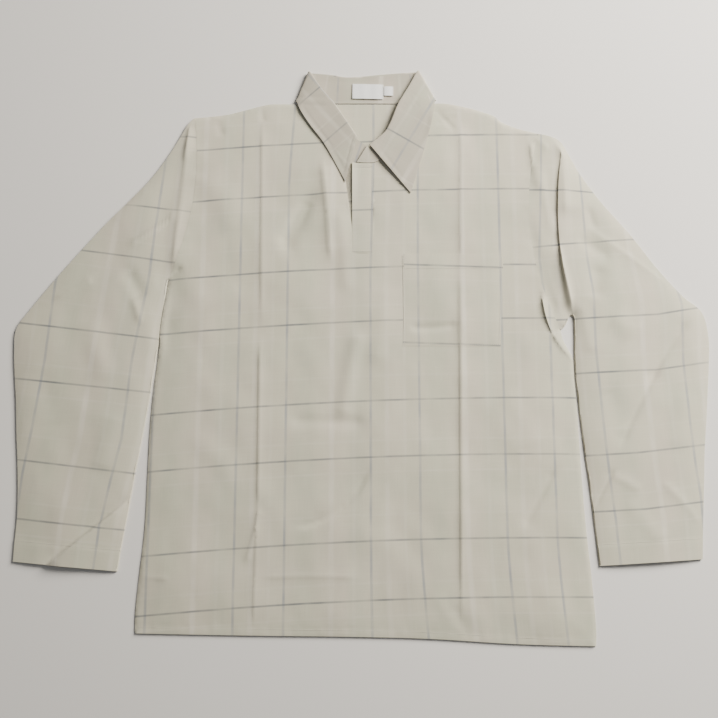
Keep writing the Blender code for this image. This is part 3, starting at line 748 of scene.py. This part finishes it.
SLEEVE_RIGHT = [Section(*row) for row in [
    ((-267.5, 90), (-238, 327.5), 17, 4.9),
    ((-269, 82), (-243, 323), -5, 4.8),
    ((-270.5, 66), (-249, 315), -11, 4.8),
    ((-272.5, 44), (-257, 300), -16, 5.2),
    ((-274.8, 22), (-272, 273), -20, 6.0),
    ((-277, 2), (-295, 239), -22, 6.4),
    ((-279.5, -16), (-324, 206), -18, 6.4),
    ((-281.5, -34), (-356, 172), -11, 6.2),
    ((-284, -52), (-390, 132), -7, 6.2),
    ((-286, -71), (-425, 89), -4, 6.0),
    ((-289, -91), (-456, 48), -2, 6.0),
    ((-292, -111), (-474, 20), 0, 6.0),
    ((-295, -131), (-475, -12), 0, 6.0),
    ((-298, -151), (-472, -45), 0, 5.8),
    ((-301.5, -172), (-468, -82), 0, 5.8),
    ((-304.5, -194), (-465, -120), 0, 5.8),
    ((-308, -217), (-461, -160), 0, 5.6),
    ((-311.5, -240), (-458, -200), 0, 5.4),
    ((-315, -263), (-457, -237), 0, 5.2),
    ((-318, -284), (-458, -266), 0, 5.0),
    ((-320.5, -304.5), (-458.5, -292), 0, 4.6),
]]
SLEEVE_LEFT_FOLDS = LAP_FOLDS + [
    Crease((272, 304), (287, 264), (4, 5), 4.0),
    Crease((273, 150), (292, 42), (15, 3), 3.2),
    Crease((308, 168), (436, 72), (5, 3), 1.5, 3),
    Fold((300, 150), (350, 118), 7, -1.3),
    Crease((458, 36), (390, -64), (10, 3.5), -2.4, -5),
    Crease((412, -26), (344, -154), (10, 3.5), -2.2, -3),
    Crease((308, -228), (340, -168), (1.8, 6), -2.0),
    Fold((332, -177), (376, -201), 5, 0.8),
    Crease((398, -184), (453, -248), (6, 4), 1.5, 3),
    Fold((330, 110), (322, 60), 12, -1.8),
    Fold((318, 196), (328, 160), 6, -1.2),
    Fold((345, 40), (380, 10), 14, 1.2),
    Fold((330, -60), (360, -120), 14, -1.0),
    Fold((300, 60), (316, -20), 8, 1.0),
    Fold((440, -60), (420, -150), 14, 1.0),
    Fold((350, -210), (400, -270), 12, 1.0),
]
SLEEVE_RIGHT_FOLDS = ARMHOLE_FOLDS + [
    Crease((-366, 92), (-428, 58), (5, 3), 1.8),
    Fold((-326, 106), (-300, 60), 10, -2.0),
    Fold((-314, 64), (-302, 26), 6, 1.2),
    Crease((-296, -199), (-426, -305), (9, 1.2), -2.6),
    Crease((-294, -201), (-425, -307), (1.2, 16), 4.0),
    Fold((-290, 60), (-286, -50), 10, 1.0),
    Fold((-380, 40), (-350, -60), 16, 1.2, 6),
    Fold((-440, -30), (-410, -130), 16, -1.0),
    Fold((-330, -90), (-350, -180), 14, 1.1),
    Fold((-300, 230), (-350, 170), 12, 1.1),
]
ARMHOLE_BLEND = {-1: 22.0, 1: 14.0}
SEAM_STEP = 0.2
LAP_BASE = 4.6
LAP_FADE = 0.62
SLEEVE_HEM = 27.0
EDGE_RADIUS = 1.1
EDGE_CLEAR = 1.6
SLEEVE_RISE = 16.0
SLEEVE_ROW = 3.2
TOP_CELLS = 64
UNDER_CELLS = 16
EDGE_ANGLES = (-70, -35, 0, 35, 70)
UNDER_Z = 0.05
NEAR_OUTER = 0.98
SLEEVE_WALL = 0.5

GrainLine = namedtuple("GrainLine", "value points")
CROSS_LEFT = [
    GrainLine(-156, [(309.9, -227.7), (378, -223.8), (453, -214.6)]),
    GrainLine(-80, [(300.4, -153.6), (369.8, -149.6), (462, -138.9)]),
    GrainLine(30, [(292, -42.3), (404, -36.8), (472, -27)]),
    GrainLine(106, [(292, 33.4), (408.6, 39.9), (466, 49.8)]),
    GrainLine(216, [(275.6, 138.4), (376.7, 147)]),
    GrainLine(292, [(284, 217.4), (325, 215.9)]),
]
LONG_LEFT = [
    GrainLine(-101.5, [(341, -296.5), (337.4, -237), (332.9, -192), (328.6, -140), (320.8, -9),
                       (320.9, 71), (313.9, 120), (311.3, 189)]),
    GrainLine(13, [(455, -290), (452.5, -204), (448.8, -177), (443.6, -109), (439.2, -26), (442.6, 54),
                   (430, 110), (415, 190)]),
]
CROSS_RIGHT = [
    GrainLine(-156, [(-456, -236.6), (-311.8, -251.6)]),
    GrainLine(-80, [(-460.9, -158.6), (-300.3, -177.6)]),
    GrainLine(30, [(-467.9, -49.2), (-287, -68)]),
    GrainLine(106, [(-464.5, 27.7), (-279, 5.5)]),
    GrainLine(216, [(-380, 130.3), (-265.5, 113.9)]),
    GrainLine(292, [(-328.5, 197.4), (-253.5, 188.5)]),
]
LONG_RIGHT = [
    GrainLine(-101.5, [(-463, -290), (-453, -177), (-443.4, -116), (-431, -21.6), (-423.7, 86.7),
                       (-405, 180)]),
    GrainLine(13, [(-349, -276), (-345.4, -243.4), (-333.5, -183), (-321.8, -131), (-312.2, -21.6),
                   (-293.4, 93.8), (-287.6, 159.5), (-279.3, 240.4)]),
]


def follow(pairs, at):
    """Reads a line through pairs at these places, carried straight on past its ends."""
    steps, values = np.array(pairs, float).T
    found = np.interp(at, steps, values)
    for end, beyond in ((0, at < steps[0]), (-1, at > steps[-1])):
        near = 1 if end == 0 else -2
        slope = (values[end] - values[near]) / (steps[end] - steps[near])
        found = np.where(beyond, values[end] + slope * (at - steps[end]), found)
    return found


def between(lines, places, at, swap):
    """The grain value at each point, from the lines on either side of it."""
    levels = [follow([p[::-1] for p in row.points] if swap else row.points, places) for row in lines]
    found = np.zeros(len(at))
    cell = sum((at > level).astype(int) for level in levels[1:-1])
    for i in range(len(lines) - 1):
        share = (at - levels[i]) / (levels[i + 1] - levels[i])
        value = lines[i].value + share * (lines[i + 1].value - lines[i].value)
        found = np.where(cell == i, value, found)
    return found


def sleeve_grain(points, cross, long):
    x, y = points[:, 0], points[:, 1]
    return np.stack([between(long, y, x, True), between(cross, x, y, False)], axis=1)


def finer_sections(sections):
    """The sleeve's sections, with more between them on smooth curves."""
    table = np.array([(*row.inner, *row.outer, row.bow, row.top, row.slip) for row in sections], float)

    def count_pieces(start, end):
        middle = (end[:4] - start[:4]).reshape(2, 2).mean(axis=0)
        bulge, climb = np.abs(end - start)[4:6]
        return max(2, math.ceil(math.hypot(*middle, bulge, climb * 2) / SLEEVE_ROW))

    return np.array(curve_through(table, count_pieces))


def unit(vectors):
    return vectors / np.linalg.norm(vectors, axis=-1, keepdims=True)


def left_of(line):
    """The way to the left at each point of a flat line."""
    along = np.gradient(line, axis=0)
    return unit(np.stack([-along[:, 1], along[:, 0]], axis=1))


def make_sleeve(name, node, sections, folds, cross, long, seed):
    """The tube's outer surface: rings up over the upper cloth and back along the lower one."""
    rows = finer_sections(sections)
    inner, outer = rows[:, 0:2], rows[:, 2:4]
    side = math.copysign(1, sections[0].inner[0])
    across = outer - inner
    direction = unit(across)
    sideways = np.stack([direction[:, 1], -direction[:, 0]], axis=1)
    columns = []

    def on_section(share):
        return inner + across * share + sideways * (rows[:, 4] * 4 * share * (1 - share))[:, None]

    def add_column(plan, height):
        columns.append(np.column_stack([plan, np.broadcast_to(height, len(plan))]))

    def round_edge(edge, into, angles):
        for angle in angles:
            turn = math.radians(angle)
            add_column(edge + into * EDGE_RADIUS * (1 - math.cos(turn)), EDGE_RADIUS * (1 + math.sin(turn)))

    on_armhole = armhole_path(ARMHOLE_LEFT if side > 0 else ARMHOLE_RIGHT)
    reach = ARMHOLE_BLEND[int(side)]
    into_inner = left_of(inner) * side
    into_outer = left_of(outer) * -side
    into_outer[0] = unit(on_section(NEAR_OUTER)[0] - outer[0])
    hem_line = on_section(0.0)[-1], on_section(1.0)[-1]
    round_edge(inner, into_inner, EDGE_ANGLES)
    for k in range(1, TOP_CELLS):
        share = 0.5 - 0.5 * math.cos(math.pi * k / TOP_CELLS)
        plan = on_section(share)
        # The upper cloth stays clear of the rounded inner edge.
        for start, end, way in zip(inner, inner[1:], into_inner):
            along = end - start
            beside = (plan - start) @ along
            depth = (plan - start) @ way
            near = (beside >= 0) & (beside <= along @ along) & (abs(depth) < EDGE_CLEAR)
            plan = np.where(near[:, None], plan + way * (EDGE_CLEAR - depth)[:, None], plan)
        # It rises from both edges, with the lap, the folds and the turned hem on it.
        clear = np.minimum(path_distance(plan, inner), path_distance(plan, outer))
        top = rows[:, 5] - np.maximum(0, rows[:, 5] - LAP_BASE) * LAP_FADE * share
        lift = top - 2 * EDGE_RADIUS + fold_height(plan, folds) + settle(plan, seed)
        height = 2 * EDGE_RADIUS + np.maximum(lift, 0) * (1 - np.exp(-clear / SLEEVE_RISE))
        hem = path_distance(plan, hem_line)
        height += HEM_STEP * ramp(SLEEVE_HEM + 1 - hem, 1.5)
        height -= HEM_STEP * bell(hem - SLEEVE_HEM, 1.0)
        # At the armhole it comes down to the front.
        seam = path_distance(plan, on_armhole)
        near = seam < reach
        met = front_top(plan[near]) - (SEAM_STEP if side < 0 else 0)
        height[near] += (met - height[near]) * np.cos(math.pi / 2 * seam[near] / reach) ** 2
        # Between its edges it slips along the sleeve, as the lapped cloth does.
        slip = rows[:, 6] * min(1, max(0, 4 * share - 0.5), 6 * (1 - share))
        add_column(plan + sideways * (slip * side)[:, None], height)
    round_edge(outer, into_outer, EDGE_ANGLES[::-1])
    for k in range(UNDER_CELLS - 1, 0, -1):
        add_column(on_section(k / UNDER_CELLS), UNDER_Z)
    grid = np.stack(columns, axis=1)
    count = grid.shape[1]
    points = grid.reshape(-1, 3)
    faces = []
    for i in range(len(rows) - 1):
        for j in range(count):
            ring = [i * count + j, i * count + (j + 1) % count]
            quad = (*ring, ring[1] + count, ring[0] + count)
            faces.append(quad if side < 0 else quad[::-1])
    grain = sleeve_grain(points[:, :2], cross, long)
    piece = cloth_piece(name, points, faces, grain, body_cloth, SLEEVE_WALL)
    belongs(piece, "shirting", node)
    return piece, grid


sleeve_left, left_grid = make_sleeve(
    "sleeve_wearers_left", "sleeve_left", SLEEVE_LEFT, SLEEVE_LEFT_FOLDS, CROSS_LEFT, LONG_LEFT, seed=21)
sleeve_right, right_grid = make_sleeve(
    "sleeve_wearers_right", "sleeve_right", SLEEVE_RIGHT, SLEEVE_RIGHT_FOLDS, CROSS_RIGHT, LONG_RIGHT,
    seed=33)

# The collar. A stand and a leaf, each two layers of the shirting over an interlining, so firmer
# than the body. The leaf turns over at the roll line, and its free edges are edge-stitched.
Station = namedtuple("Station", "seam roll outer seam_z stand_z leaf_z")
STAND_END_RIGHT = Station((8, 259.5), (12, 284), (0, 0), 3.0, 3.3, 0)
COLLAR_RIGHT = [
    Station((-20, 259.5), (-6, 296), (-22, 231), 3.9, 4.8, 7.4),
    Station((-39, 285), (-20, 318), (-50, 284), 4.1, 5.0, 7.6),
    Station((-57, 310), (-40, 348), (-72, 315), 4.3, 5.1, 7.4),
    Station((-74, 333), (-59, 372), (-86, 337), 4.7, 5.1, 6.8),
]
COLLAR_LEFT = [
    Station((88, 331), (69, 373), (101, 322), 4.7, 5.1, 7.0),
    Station((68, 300), (54, 346), (92, 287), 4.5, 5.3, 8.0),
    Station((46, 274), (42.5, 317), (81, 251), 4.7, 5.5, 8.4),
    Station((31, 266), (33, 301), (75.5, 232), 4.85, 5.6, 8.5),
    Station((17, 259.5), (13, 284), (70, 214), 5.0, 5.7, 8.6),
]
STAND_END_LEFT = Station((-6, 259.5), (10, 286), (0, 0), 6.1, 7.2, 0)
LEAF_ON_FRONT = 1.1
LEAF_ON_STAND = 0.9
LEAF_UNDER = 0.5
STAND_UNDER = 1.8
STAND_SEAM_Z = 0.75
Place = namedtuple("Place", "seam roll outer")
COLLAR_BACK = [
    Place((-50, 350), (-44, 393), (-52, 351)),
    Place((-15, 350), (-17, 389), (-15, 351)),
    Place((26, 350), (28, 393), (26, 351)),
    Place((62, 350), (58, 395.5), (64, 351)),
]
CORNER_RIGHT = Place((-86, 350.5), (-73.5, 395.5), (-92, 352))
CORNER_LEFT = Place((99.5, 352), (81.5, 397), (106, 353.5))
CORNER_LEAF_RADIUS = 2.9
CORNER_EDGE_RADIUS = 1.5
CORNER_STAND_RADIUS = 1.6
CORNER_STEPS = 6
COLLAR_SHELL = 1.0
COLLAR_EDGE_STITCH = 5.5
COLLAR_STEP = 3.2
ROLL_CELLS = 8
LEAF_CELLS = 16
ROLL_LAP = 1.2
LEAF_EDGE_STEP = 0.25
LEAF_DENT = 0.4
LEAF_MIDDLE_X = 5
STAND_CELLS = 12

# The stand has one long line at the back of the neck.
LeafGrain = namedtuple("LeafGrain", "side spot way weft warp stretch")
LEAF_GRAINS = [
    LeafGrain(-1, (-20, 318), (-0.66, 0.751), 30, 20, 76 / 66.6),
    LeafGrain(1, (44.4, 304.8), (0.5, 0.866), 106, -14, 1.0),
]
STAND_LINE_X = -33
STAND_BACK_Y = 380
STAND_LINE_WARP = 79
STAND_WEFT = (50, 86)
FAR = 999


def raised(plan, height):
    return np.array((plan[0], plan[1], height), float)


def four_plans(row):
    """Where the neck seam, the stand's roll, the leaf's roll and its outer edge lie in plan."""
    return (row.seam, row.roll, row.roll, row.outer)


def station_points(row):
    """The neck seam, the stand's roll, the leaf's roll and the leaf's outer edge, in space."""
    on_front = front_top(np.array([row.outer], float))[0] + LEAF_ON_FRONT
    outer_z = max(on_front, row.seam_z + LEAF_ON_STAND)
    heights = (row.seam_z, row.stand_z, row.leaf_z, outer_z)
    return [raised(plan, height) for plan, height in zip(four_plans(row), heights)]


def corner_points(corner, side):
    """The same four points as the collar turns over at the side of the neck, upper first."""
    along = unit(np.array(corner.roll, float) - np.array(corner.outer, float))
    outward = np.array((-along[1], along[0])) * -side
    level = LEAF_UNDER + CORNER_LEAF_RADIUS
    levels = (level, level, level, LEAF_UNDER + CORNER_EDGE_RADIUS)
    radii = (CORNER_STAND_RADIUS, CORNER_STAND_RADIUS, CORNER_LEAF_RADIUS, CORNER_EDGE_RADIUS)
    rows = []
    for step in range(CORNER_STEPS + 1):
        angle = math.pi / 2 - math.pi * step / CORNER_STEPS
        row = []
        for plan, radius, height in zip(four_plans(corner), radii, levels):
            spot = np.array(plan, float) + outward * radius * math.cos(angle)
            row.append(raised(spot, height + radius * math.sin(angle)))
        rows.append(row)
    return rows


def back_points_of(place):
    """The same four points along the back of the neck, where the collar lies folded."""
    heights = (STAND_SEAM_Z, STAND_UNDER, LEAF_UNDER, LEAF_UNDER)
    return [raised(plan, height) for plan, height in zip(four_plans(place), heights)]


def finer_rows(rows, step):
    """Rows of points in space, with more between them on smooth curves."""
    def count_pieces(start, end):
        return max(1, math.ceil(np.linalg.norm(end - start, axis=-1).max() / step))

    return np.array(curve_through(np.array(rows, float), count_pieces))


def running_length(grid, axis):
    """How far each point lies along its line, from the line's first point."""
    steps = np.linalg.norm(np.diff(grid, axis=axis), axis=-1)
    return np.insert(np.cumsum(steps, axis=axis), 0, 0, axis=axis)


def grid_normals(grid):
    """The way out of a grid of points at each of them."""
    return unit(np.cross(np.gradient(grid, axis=0), np.gradient(grid, axis=1)))


def faces_up(grid, row, column):
    """The four-sided faces of an open grid, turned so that the one at this place looks up."""
    rows, columns = grid.shape[:2]
    faces = []
    for i in range(rows - 1):
        for j in range(columns - 1):
            corner = i * columns + j
            faces.append((corner, corner + columns, corner + columns + 1, corner + 1))
    here = grid[row, column]
    if np.cross(grid[row + 1, column] - here, grid[row, column + 1] - here)[2] < 0:
        faces = [face[::-1] for face in faces]
    return faces


leaf_rows = [station_points(row) for row in COLLAR_RIGHT] + corner_points(CORNER_RIGHT, -1)
leaf_rows += [back_points_of(row) for row in COLLAR_BACK] + corner_points(CORNER_LEFT, 1)[::-1]
leaf_rows += [station_points(row) for row in COLLAR_LEFT]
# The collar's cloth is the body's shirting painted darker, as painted shade over the collar.
collar_cloth = shirting("interlined_shirting_painted_shade", "B3AD9D", "ADA898")


def leaf_section(row):
    """Points across the leaf, from the stand round the roll to the outer edge."""
    _, stand, leaf, outer = row
    along = unit(leaf - outer)
    away = unit(stand - row[0])
    middle = (stand + leaf) / 2
    radius = np.linalg.norm(leaf - stand) / 2
    line = [stand - away * ROLL_LAP]
    for k in range(ROLL_CELLS + 1):
        turn = math.pi * k / ROLL_CELLS
        line.append(middle + (stand - leaf) / 2 * math.cos(turn) + along * radius * math.sin(turn))
    return line + [leaf + (outer - leaf) * (k / LEAF_CELLS) for k in range(1, LEAF_CELLS + 1)]


leaf_lines = finer_rows(leaf_rows, COLLAR_STEP)
leaf_grid = np.array([leaf_section(row) for row in leaf_lines])
leaf_normals = grid_normals(leaf_grid)
# They look up where the leaf lies on the front.
if leaf_normals[2, -4, 2] < 0:
    leaf_normals = -leaf_normals
flat_leaf = leaf_grid[..., :2].reshape(-1, 2)
free = ROLL_CELLS + 2
leaf_edge = np.concatenate([leaf_grid[0, free:], leaf_grid[:, -1], leaf_grid[-1, : free - 1 : -1]])
edge_gap = path_distance(flat_leaf, leaf_edge).reshape(leaf_grid.shape[:2])
relief = LEAF_EDGE_STEP * ramp(COLLAR_EDGE_STITCH - edge_gap, 1.0)
relief -= LEAF_DENT * bell(edge_gap - COLLAR_EDGE_STITCH, 0.9)
leaf_top = leaf_grid + leaf_normals * relief[..., None]
cross_length = running_length(leaf_grid, 1)
leaf_grains = []
for row in LEAF_GRAINS:
    offset = flat_leaf - np.array(row.spot)
    outward = np.array((row.way[1], -row.way[0])) * row.side
    along_way = row.weft + offset @ np.array(row.way) * row.stretch
    leaf_grains.append(np.stack([row.warp + offset @ outward, along_way], axis=1))
leaf_grain = np.where(flat_leaf[:, :1] < LEAF_MIDDLE_X, *leaf_grains)
faces = faces_up(leaf_grid, 2, -4)
leaf = cloth_piece("collar_leaf_piece", leaf_top.reshape(-1, 3), faces, leaf_grain, collar_cloth,
                   COLLAR_SHELL, 0.0)
belongs(leaf, "collar_cloth", "collar_leaf")

stand_rows = [station_points(STAND_END_RIGHT)[:2]] + [row[:2] for row in leaf_rows]
stand_rows += [station_points(STAND_END_LEFT)[:2]]
stand_lines = finer_rows(stand_rows, COLLAR_STEP)
stand_grid = []
for seam, roll in stand_lines:
    top = roll - unit(roll - seam) * ROLL_LAP
    stand_grid.append([seam + (top - seam) * k / STAND_CELLS for k in range(STAND_CELLS + 1)])
stand_grid = np.array(stand_grid)
stand_length = running_length(stand_lines[:, 0], 0)
rolls = stand_lines[:, 1]
at_line = np.argmin(np.abs(rolls[:, 0] - STAND_LINE_X) + (rolls[:, 1] < STAND_BACK_Y) * FAR)
from_line = (stand_length - stand_length[at_line])[:, None]
stand_warp = np.repeat(from_line, STAND_CELLS + 1, axis=1) + STAND_LINE_WARP
stand_weft = np.linspace(*STAND_WEFT, STAND_CELLS + 1)[None, :].repeat(len(stand_grid), axis=0)
stand_grain = np.stack([stand_warp, stand_weft], axis=2).reshape(-1, 2)
faces = faces_up(stand_grid, 8, 3)
stand = cloth_piece("collar_stand_piece", stand_grid.reshape(-1, 3), faces, stand_grain, collar_cloth,
                    COLLAR_SHELL, 0.0)
belongs(stand, "collar_cloth", "collar_stand")

# The labels. Two pieces of white satin-woven tape, left bare, sewn flat inside the back of the
# stand: a wide one, and a small one tucked against its end.
LABEL = [(-12.5, 357), (32, 356), (32.3, 378.3), (-12.3, 379.3)]
SIZE_LABEL = [(32.9, 361.5), (46.3, 361.2), (46.5, 375.3), (33.1, 375.6)]
LABEL_Z = 2.8
LABEL_PUFF = 0.35
LABEL_WAVE = 0.1
LABEL_WALL = 0.35
LABEL_STEP = 1.3

# Satin tape: smooth filament yarns that float along the tape, so it is whiter and glossier.
satin, tree, shader = new_material("satin_woven_tape")
grain = add(tree, "ShaderNodeUVMap", uv_map="grain").outputs[0]
floats = yarn_noise(tree, grain, (2600, 90, 1))
tree.links.new(mixed(tree, floats, colour("E4E6E6"), colour("F3F4F3")), shader.inputs["Base Color"])
bump = add(tree, "ShaderNodeBump", {"Strength": 0.25, "Distance": 0.00005, "Height": floats})
tree.links.new(bump.outputs[0], shader.inputs["Normal"])
shader.inputs["Roughness"].default_value = 0.42
shader.inputs["Sheen Weight"].default_value = 0.1


def label_top(points):
    """The labels' height: pressed down where their ends are sewn, and faintly waved between."""
    ends = np.array([corner[0] for corner in LABEL + SIZE_LABEL])
    away = np.abs(points[:, :1] - ends).min(axis=1)
    return LABEL_Z + LABEL_PUFF * (1 - np.exp(-away / 3)) + LABEL_WAVE * np.sin(points[:, 0] / 2.7)


for name, node, outline, wide in (
    ("woven_label", "label", LABEL, (0.0445, 0.0223)),
    ("size_tab", "size_label", SIZE_LABEL, (0.0134, 0.0141)),
):
    piece = laid_piece(name, ring_path(outline, 1.2), LABEL_STEP, label_top, lambda flat: flat, satin,
                       LABEL_WALL)
    belongs(piece, "woven_tab", node)

# The sewing. Fine cotton thread in the cloth's own colour, in a lockstitch of about 4 stitches
# to the centimetre, along the hems, the pocket, the placket, the collar's edge and the labels.
thread, tree, shader = new_material("cotton_thread")
where = add(tree, "ShaderNodeTexCoord").outputs["Object"]
twist = speckle(tree, where, scale=2500.0, detail=1.0)
tree.links.new(mixed(tree, twist, colour("C0BCAF"), colour("CFCBC0")), shader.inputs["Base Color"])
shader.inputs["Roughness"].default_value = 0.7

STITCH_PITCH = 2.5
STITCH_LENGTH = 1.9
STITCH_WIDTH = 0.42
STITCH_LIFT = 0.12
COLLAR_STITCH_LIFT = 0.1
LABEL_STITCH_LIFT = 0.05


def stitching_tree():
    """A line of stitches: one short rounded thread at each step along a path."""
    made = bpy.data.node_groups.new("lockstitch", "GeometryNodeTree")
    face = made.interface
    face.new_socket("Path", in_out="INPUT", socket_type="NodeSocketGeometry")
    for label, value in (("Pitch", STITCH_PITCH), ("Length", STITCH_LENGTH), ("Width", STITCH_WIDTH)):
        face.new_socket(label, in_out="INPUT", socket_type="NodeSocketFloat").default_value = value * MM
    face.new_socket("Thread", in_out="INPUT", socket_type="NodeSocketMaterial")
    face.new_socket("Stitches", in_out="OUTPUT", socket_type="NodeSocketGeometry")
    given = add(made, "NodeGroupInput").outputs
    line = add(made, "GeometryNodeMeshToCurve", {"Mesh": given["Path"]})
    spots = add(made, "GeometryNodeCurveToPoints", {"Curve": line.outputs[0], "Length": given["Pitch"]},
                mode="LENGTH")
    half = calc(made, "MULTIPLY", given["Width"], 0.5)
    bead = add(made, "GeometryNodeMeshCylinder", {"Vertices": 6, "Radius": half, "Depth": given["Length"]})
    turned = add(made, "FunctionNodeAlignEulerToVector", {"Vector": spots.outputs["Tangent"]}, axis="Z")
    placed = add(made, "GeometryNodeInstanceOnPoints",
                 {"Points": spots.outputs["Points"], "Instance": bead.outputs["Mesh"],
                  "Rotation": turned.outputs[0]})
    real = add(made, "GeometryNodeRealizeInstances", {"Geometry": placed.outputs[0]})
    dyed = add(made, "GeometryNodeSetMaterial", {"Geometry": real.outputs[0], "Material": given["Thread"]})
    add(made, "NodeGroupOutput", {"Stitches": dyed.outputs[0]})
    return made


lockstitch = stitching_tree()


def sew(name, paths):
    """Stitches along paths of points in millimetres, as one plain mesh."""
    points = []
    edges = []
    for path in paths:
        first = len(points)
        points += [Vector(p) * MM for p in path]
        edges += [(first + k, first + k + 1) for k in range(len(path) - 1)]
    mesh = bpy.data.meshes.new(name + "_path")
    mesh.from_pydata(points, edges, [])
    guide = link(bpy.data.objects.new(name + "_path", mesh))
    sewing = guide.modifiers.new("sewing", "NODES")
    sewing.node_group = lockstitch
    sockets = {item.name: item.identifier for item in lockstitch.interface.items_tree}
    sewing[sockets["Thread"]] = thread
    bpy.context.view_layer.update()
    result = bpy.data.meshes.new_from_object(guide.evaluated_get(bpy.context.evaluated_depsgraph_get()))
    bpy.data.objects.remove(guide)
    result.name = name
    result.materials.clear()
    result.materials.append(thread)
    result.shade_smooth()
    piece = link(bpy.data.objects.new(name, result))
    belongs(piece, "shirting")


def laid_on(path, top_of, lift=STITCH_LIFT):
    """A flat path, raised to lie on a surface."""
    plan = np.array([tuple(p)[:2] for p in path])
    return np.column_stack([plan, top_of(plan) + lift])


def inset(path, gap):
    """A path moved to its left by a gap."""
    line = np.array([tuple(p)[:2] for p in path])
    return line + left_of(line) * gap


def straight(start, end, count):
    """Points from one end of a straight line to the other."""
    start, end = Vector(start), Vector(end)
    return [start.lerp(end, k / count) for k in range(count + 1)]


body_hem = laid_on(inset(hem_path, HEM_DEPTH)[2:-2], front_top)
sew("hem_stitching", [body_hem])
pocket_ring = [(57.8, 123), (59.1, -2.8), (188.9, -2.8), (195.7, 123)]
pocket_path = [p for a, b in zip(pocket_ring, pocket_ring[1:]) for p in straight(a, b, 40)[:-1]]
pocket_hem = straight((61.5, 105), (194, 105), 40)
sew("pocket_stitching", [laid_on(pocket_path, pocket_top), laid_on(pocket_hem, pocket_top)])
strip_length = np.linspace(PLACKET_BOTTOM + END_STITCH, PLACKET_TOP - 2, 50)
strip_width = np.linspace(PLACKET_LEFT + 1, PLACKET_RIGHT - 1, 14)
placket_lines = [[(PLACKET_RIGHT - SIDE_STITCH, y) for y in strip_length]]
for y in (PLACKET_TOP - TOP_STITCH, PLACKET_BOTTOM + END_STITCH):
    placket_lines.append([(x, y) for x in strip_width])
sew("placket_stitching", [laid_on(path, placket_top) for path in placket_lines])


def sleeve_hem_path(grid):
    """The hem's stitch line over the top of a sleeve, read off its surface."""
    upper = grid[:, len(EDGE_ANGLES) : len(EDGE_ANGLES) + TOP_CELLS - 1]
    found = []
    for column in range(2, upper.shape[1] - 2):
        line = upper[:, column]
        away = np.linalg.norm(line[:, :2] - line[-1, :2], axis=1)
        found.append([np.interp(SLEEVE_HEM, away[::-1], line[::-1, axis]) for axis in range(3)])
    return np.array(found) + np.array((0, 0, STITCH_LIFT))


sew("sleeve_hem_stitching", [sleeve_hem_path(left_grid), sleeve_hem_path(right_grid)])


def collar_stitch_path():
    """The edge-stitching of the leaf: along one front edge, the outer edge and the other front edge."""
    lengths = cross_length[:, -1:] - cross_length
    path = []
    for away, top in zip(lengths[2:-2, ::-1], leaf_top[2:-2, ::-1]):
        path.append([np.interp(COLLAR_EDGE_STITCH, away, top[:, axis]) for axis in range(3)])
    return np.array(path) + leaf_normals[2:-2, -3] * COLLAR_STITCH_LIFT


sew("collar_stitching", [collar_stitch_path()])
label_ends = []
for outline in (LABEL, SIZE_LABEL):
    for low, high, way in ((outline[0], outline[3], 1), (outline[1], outline[2], -1)):
        label_ends.append([(low[0] + way, y) for y in np.linspace(low[1] + 1, high[1] - 1, 12)])
sew("label_stitching", [laid_on(path, label_top, LABEL_STITCH_LIFT) for path in label_ends])
